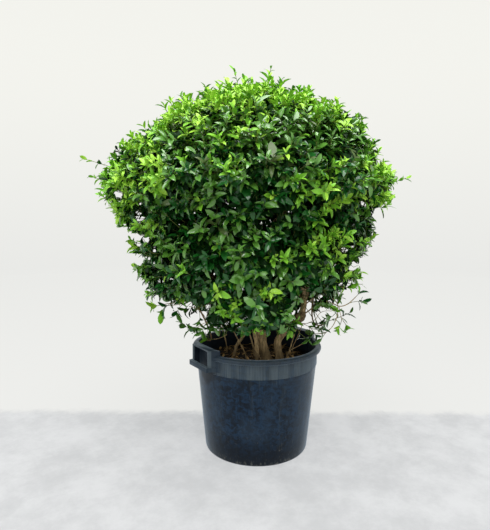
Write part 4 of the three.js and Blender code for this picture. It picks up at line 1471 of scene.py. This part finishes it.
class GrowLeaves(bpy.types.Operator):
    """Set the leaves on every shoot, bright at the tips of new growth, with painted shade on the leaves inside
    """

    bl_idname = "topiary.grow_leaves"
    bl_label = "Grow Leaves"

    # How glossy each kind of leaf is
    PALETTE = {"lime": 0.3, "fresh": 0.4, "middle": 1.0, "deep": 0.6, "shaded": 0.0, "dull": 0.4}
    ROUGHNESS = 0.42
    # Pitch from the shoot in degrees, for new and older shoots, and what age on the shoot and chance add
    NEW_PITCH = 20
    OLD_PITCH = 32
    PITCH_BY_AGE = 48
    PITCH_SPREAD = 9
    # Mean and spread of the fold and the curl, in radians, and spreads of the roll, the length and the width
    FOLD = (0.48, 0.2)
    CURL = (0.68, 0.34)
    ROLL_SPREAD = 0.32
    LENGTH_SPREAD = 0.17
    WIDTH_SPREAD = 0.08
    SIZES = (0.91, 0.87)
    DROPPED = 0.04
    LIMB_CLEARANCE = 9
    EDGE_SPREAD = 8

    def execute(self, context):
        sizes, colours = context.scene.topiary_sizes, context.scene.topiary_colours
        finishes = [
            plain_finish("leaf_" + name, getattr(colours, name), self.ROUGHNESS, gloss)
            for name, gloss in self.PALETTE.items()
        ]
        random = np.random.default_rng(FINE_SEED + 1)
        shoots = fine_shoots(sizes.shoots)
        corners, kinds = self.leaves(shoots, sizes, random)
        masses = np.repeat(shoots["mass"], sizes.shoot_leaves)
        hanging = np.repeat(shoots["depth"] == HANGING, sizes.shoot_leaves)
        rank = np.tile(np.arange(sizes.shoot_leaves), len(shoots["tip"]))
        crossing = in_sky_gap(corners, 0.3 + 0.95 * random.random((len(corners), 1)))
        grown = rank < np.repeat(shoots["leaves"], sizes.shoot_leaves)
        keep = self.clear(corners, hanging, random) & grown & (hanging | ~crossing)
        for index, (name, *_) in enumerate(MASSES):
            own = keep & (masses == index)
            piece = leaf_piece(name.replace("foliage", "leaves"), corners[own], finishes, kinds[own])
            seat(piece, "foliage", name)
        return {"FINISHED"}

    def leaves(self, shoots, sizes, random):
        count, per = len(shoots["tip"]), sizes.shoot_leaves
        rank = np.broadcast_to(np.arange(per), (count, per))
        age = rank / (per - 1)
        share = 1 - 0.66 * age**1.15
        places, along = along_twigs(shoots, share)
        side = unit(np.cross(np.array([0.1, 0, 1.0]), along))
        turn = random.random((count, 1)) * 2 * math.pi + rank * GOLDEN_ANGLE
        turn = turn + random.normal(0, 0.2, (count, per))
        side = side * np.cos(turn)[..., None] + np.cross(along, side) * np.sin(turn)[..., None]
        new = shoots["new"][:, None]
        pitch = np.where(new, self.NEW_PITCH, self.OLD_PITCH) + self.PITCH_BY_AGE * age**0.7
        pitch = np.radians(pitch + random.normal(0, self.PITCH_SPREAD, (count, per)))[..., None]
        pointing = along * np.cos(pitch) + side * np.sin(pitch)
        facing = along * np.sin(pitch) - side * np.cos(pitch)
        pointing = unit(pointing + (age * -0.18)[..., None] * (0, 0, 1.0))
        facing = unit(facing + (0, 0, 0.5))
        across = unit(np.cross(facing, pointing))
        roll = random.normal(0, self.ROLL_SPREAD, (count, per))[..., None]
        facing = np.cross(pointing, across) * np.cos(roll) + across * np.sin(roll)
        sparse = (shoots["leaves"] <= INNER_LEAVES)[:, None]
        grown = np.where(sparse, 1.0, np.minimum(1, 0.62 + 0.15 * rank) * np.where(new, 0.92, 1.04))
        grown = grown * blend(*self.SIZES, smooth(480, 1040, shoots["tip"][:, 2:]))
        length = sizes.leaf_length / MM * grown * np.exp(random.normal(0, self.LENGTH_SPREAD, (count, per)))
        width = length * sizes.leaf_width / sizes.leaf_length
        width = width * (1 + self.WIDTH_SPREAD * random.normal(0, 1, (count, per)))
        fold = np.abs(random.normal(*self.FOLD, (count, per)))
        curl = random.normal(*self.CURL, (count, per))
        flat = lambda values: values.reshape(count * per, *values.shape[2:])
        corners = leaf_corners(*map(flat, (places, pointing, facing, length, width, fold, curl)))
        return corners, flat(self.kinds(shoots, rank, per, random))

    def kinds(self, shoots, rank, per, random):
        """Each leaf's place in the palette, dealt out by shoot and then by age on it, with the shaded colour
        as painted shade deep in the crown and more of it low down.
        """
        count = len(shoots["tip"])
        lime, fresh, middle, deep, shaded, dull = range(6)
        cast = random.random((count, 1))
        own = np.where(random.random((count, per)) < 0.45, random.random((count, per)), cast)
        height = smooth(430, 900, shoots["tip"][:, 2])[:, None]
        top = smooth(800, 1080, shoots["tip"][:, 2])[:, None]
        old = np.where(own < 0.24 + 0.3 * height + 0.5 * top, middle, deep)
        old = np.where(own > 0.99 - 0.04 * height, dull, old)
        # Painted shade: a share of the older leaves take the shaded colour, more of them low in the crown.
        old = np.where((own > 0.45) & (own < 0.55 + 0.2 * (1 - height) - 0.1 * top), shaded, old)
        old = np.where(shoots["leaves"][:, None] < FULL_SHOOT, np.where(own < 0.5, middle, deep), old)
        # Painted shade: on the crown's flat top, where the light from above falls strongest, fewer leaves are
        # lime and flushes are weaker.
        crest_shade = crest(shoots["tip"])[:, None]
        flush = shoots["flush"][:, None] * (1 - 0.5 * crest_shade)
        young = np.where(own < (0.22 + 0.25 * flush + 0.42 * top) * (1 - 0.7 * crest_shade), lime, fresh)
        limit = np.where(cast < 0.5, 5, 7) + np.round(6 * flush)
        bright = np.where(rank < limit, young, np.where(rank < limit + 2, fresh, old))
        kinds = np.where(shoots["new"][:, None], bright, np.where((rank < 3) & (cast < 0.4), middle, old))
        # Painted shade: older shoots deep inside the crown mostly take the shaded colour, the rest the deep
        # one.
        deeper = shoots["depth"] > INNER_DEPTH - INNER_BLEND * random.random(count)
        inner = (deeper & ~shoots["new"])[:, None]
        return np.where(inner, np.where(own < 0.8, shaded, deep), kinds)

    def clear(self, corners, hanging, random):
        """Leaves that stand clear of the limbs and the pot, less a few that have dropped."""
        middle = corners.mean(axis=1)
        lowest = np.where(hanging, LOWEST_STRAY_LEAF, LOWEST_LEAF)
        keep = (corners[..., 2].min(axis=1) > lowest) & (random.random(len(corners)) > self.DROPPED)
        ragged = LOWEST_SEEN + random.normal(0, self.EDGE_SPREAD, len(corners))
        keep &= hanging | (as_seen(middle)[:, 1] > ragged)
        for limb in grow_limbs()[2].values():
            share = np.linspace(0, limb.entry, 60)
            for place, radius in zip(limb.way.at(share), limb.radius(share)):
                keep &= np.linalg.norm(middle - place, axis=1) > radius + self.LIMB_CLEARANCE
        return keep


class SetStage(bpy.types.Operator):
    """Lay the floor and backdrop, and set the lights and the camera"""

    bl_idname = "topiary.set_stage"
    bl_label = "Set Stage"

    FLOOR_RINGS = [(5200, -0.2), (5450, 40), (5640, 170), (5760, 380), (5800, 650), (5800, 6000)]
    FLOOR_SIDES = 96
    # From where to where the floor brightens behind the pot, in metres
    FLOOR_EDGE = (0.189, 0.259)
    FOCAL_SHARE = 464.3445 / 530
    SENSOR = 36
    PITCH = math.radians(90 - 5.959)
    ROLL = 0.0055
    CAMERA_PLACE = (-0.8934, -1.2056, 0.7526)
    SKY_STRENGTH = 0.3

    def execute(self, context):
        colours = context.scene.topiary_colours
        floor = raised("floor_and_backdrop", self.FLOOR_RINGS, self.FLOOR_SIDES, open_top=True)
        dress(floor, self.floor_finish(colours))
        self.lights(context)
        self.camera(context)
        return {"FINISHED"}

    def floor_finish(self, colours):
        """Pale grey underfoot, and white from a straight edge behind the pot up the backdrop."""
        shine = {"Specular IOR Level": 0.1, "Emission Strength": 1.0}
        finish = Finish("plain_floor", Roughness=0.9, **shine)
        x, y, z = finish.axes()
        back = y * math.cos(PLANT_TURN) - x * math.sin(PLANT_TURN)
        ragged = back + (finish.noise(14, 4, 0.7) - 0.5) * 0.09
        edge = finish.rise(ragged, *self.FLOOR_EDGE)
        radius = finish.math("SQRT", x * x + y * y)
        edge = finish.math("MAXIMUM", edge, finish.rise(radius, 1.7, 3.4))
        near = finish.rise(radius, 1.9, 0.7)
        clouds = (finish.rise(finish.noise(4.5, 6, 0.74), 0.34, 0.66) - 0.5) * near + 0.5
        ground = finish.mix(clouds, scaled(colours.floor, 0.86), tuple(colours.floor))
        finish.paint(edge, ground, tuple(colours.backdrop))
        # Painted light: the floor and backdrop glow, the floor evenly to thin the shadows on it, the backdrop
        # brighter towards the top.
        glow = finish.mix(finish.rise(z, -1.2, 3.2), (0.735, 0.74, 0.725), (0.845, 0.845, 0.8))
        lit = finish.mix(clouds, (0.42, 0.43, 0.44), (0.51, 0.52, 0.53))
        finish.feed(finish.shader.inputs["Emission Color"], finish.mix(edge, lit, glow))
        return finish.done()

    def lights(self, context):
        """A wide softbox overhead, a smaller one at the camera's left, and an even white sky."""
        for name, place, size, power in (
            ("softbox_above", (-0.7, -1.0, 3.9), 3.0, 190),
            ("softbox_left", (-3.4, -1.2, 2.6), 2.0, 26),
        ):
            start_afresh()
            heading = Vector((0, 0, 0.6)) - Vector(place)
            bpy.ops.object.light_add(
                type="AREA", location=place, rotation=heading.to_track_quat("-Z", "Y").to_euler()
            )
            light = context.object
            light.name, light.data.energy, light.data.size = name, power, size
        world = bpy.data.worlds.new("studio_air")
        world.use_nodes = True
        sky = next(node for node in world.node_tree.nodes if node.type == "BACKGROUND")
        sky.inputs["Color"].default_value = (1, 1, 1, 1)
        sky.inputs["Strength"].default_value = self.SKY_STRENGTH
        context.scene.world = world
        context.scene.view_settings.view_transform = "Standard"

    def camera(self, context):
        start_afresh()
        bpy.ops.object.camera_add()
        camera = context.object
        camera.data.sensor_fit, camera.data.sensor_width = "AUTO", self.SENSOR
        camera.data.lens = self.FOCAL_SHARE * self.SENSOR
        turn = Matrix.Rotation(PLANT_TURN, 4, "Z") @ Matrix.Rotation(self.PITCH, 4, "X")
        turn = turn @ Matrix.Rotation(self.ROLL, 4, "Z")
        camera.matrix_world = Matrix.Translation(self.CAMERA_PLACE) @ turn
        context.scene.camera = camera


# Panel


class TopiaryPanel(bpy.types.Panel):
    """Lists the steps that build the plant, and its sizes and colours"""

    bl_idname = "VIEW3D_PT_topiary"
    bl_label = "Potted Topiary"
    bl_space_type = "VIEW_3D"
    bl_region_type = "UI"
    bl_category = "Topiary"

    def draw(self, context):
        for step in STEPS:
            self.layout.operator(step.bl_idname)
        for group in (context.scene.topiary_sizes, context.scene.topiary_colours):
            column = self.layout.column()
            for name in group.__annotations__:
                column.prop(group, name)


STEPS = (MakePot, FillSoil, StrewLitter, RaiseLimbs, GrowTwigs, GrowLeaves, SetStage)
CLASSES = (TopiarySizes, TopiaryColours, *STEPS, TopiaryPanel)


def register():
    for made in CLASSES:
        bpy.utils.register_class(made)
    bpy.types.Scene.topiary_sizes = PointerProperty(type=TopiarySizes)
    bpy.types.Scene.topiary_colours = PointerProperty(type=TopiaryColours)


def unregister():
    del bpy.types.Scene.topiary_sizes, bpy.types.Scene.topiary_colours
    for made in reversed(CLASSES):
        bpy.utils.unregister_class(made)


def main():
    register()
    bpy.ops.topiary.make_pot()
    bpy.ops.topiary.fill_soil()
    bpy.ops.topiary.strew_litter()
    bpy.ops.topiary.raise_limbs()
    bpy.ops.topiary.grow_twigs()
    bpy.ops.topiary.grow_leaves()
    bpy.ops.topiary.set_stage()


if __name__ == "__main__":
    main()
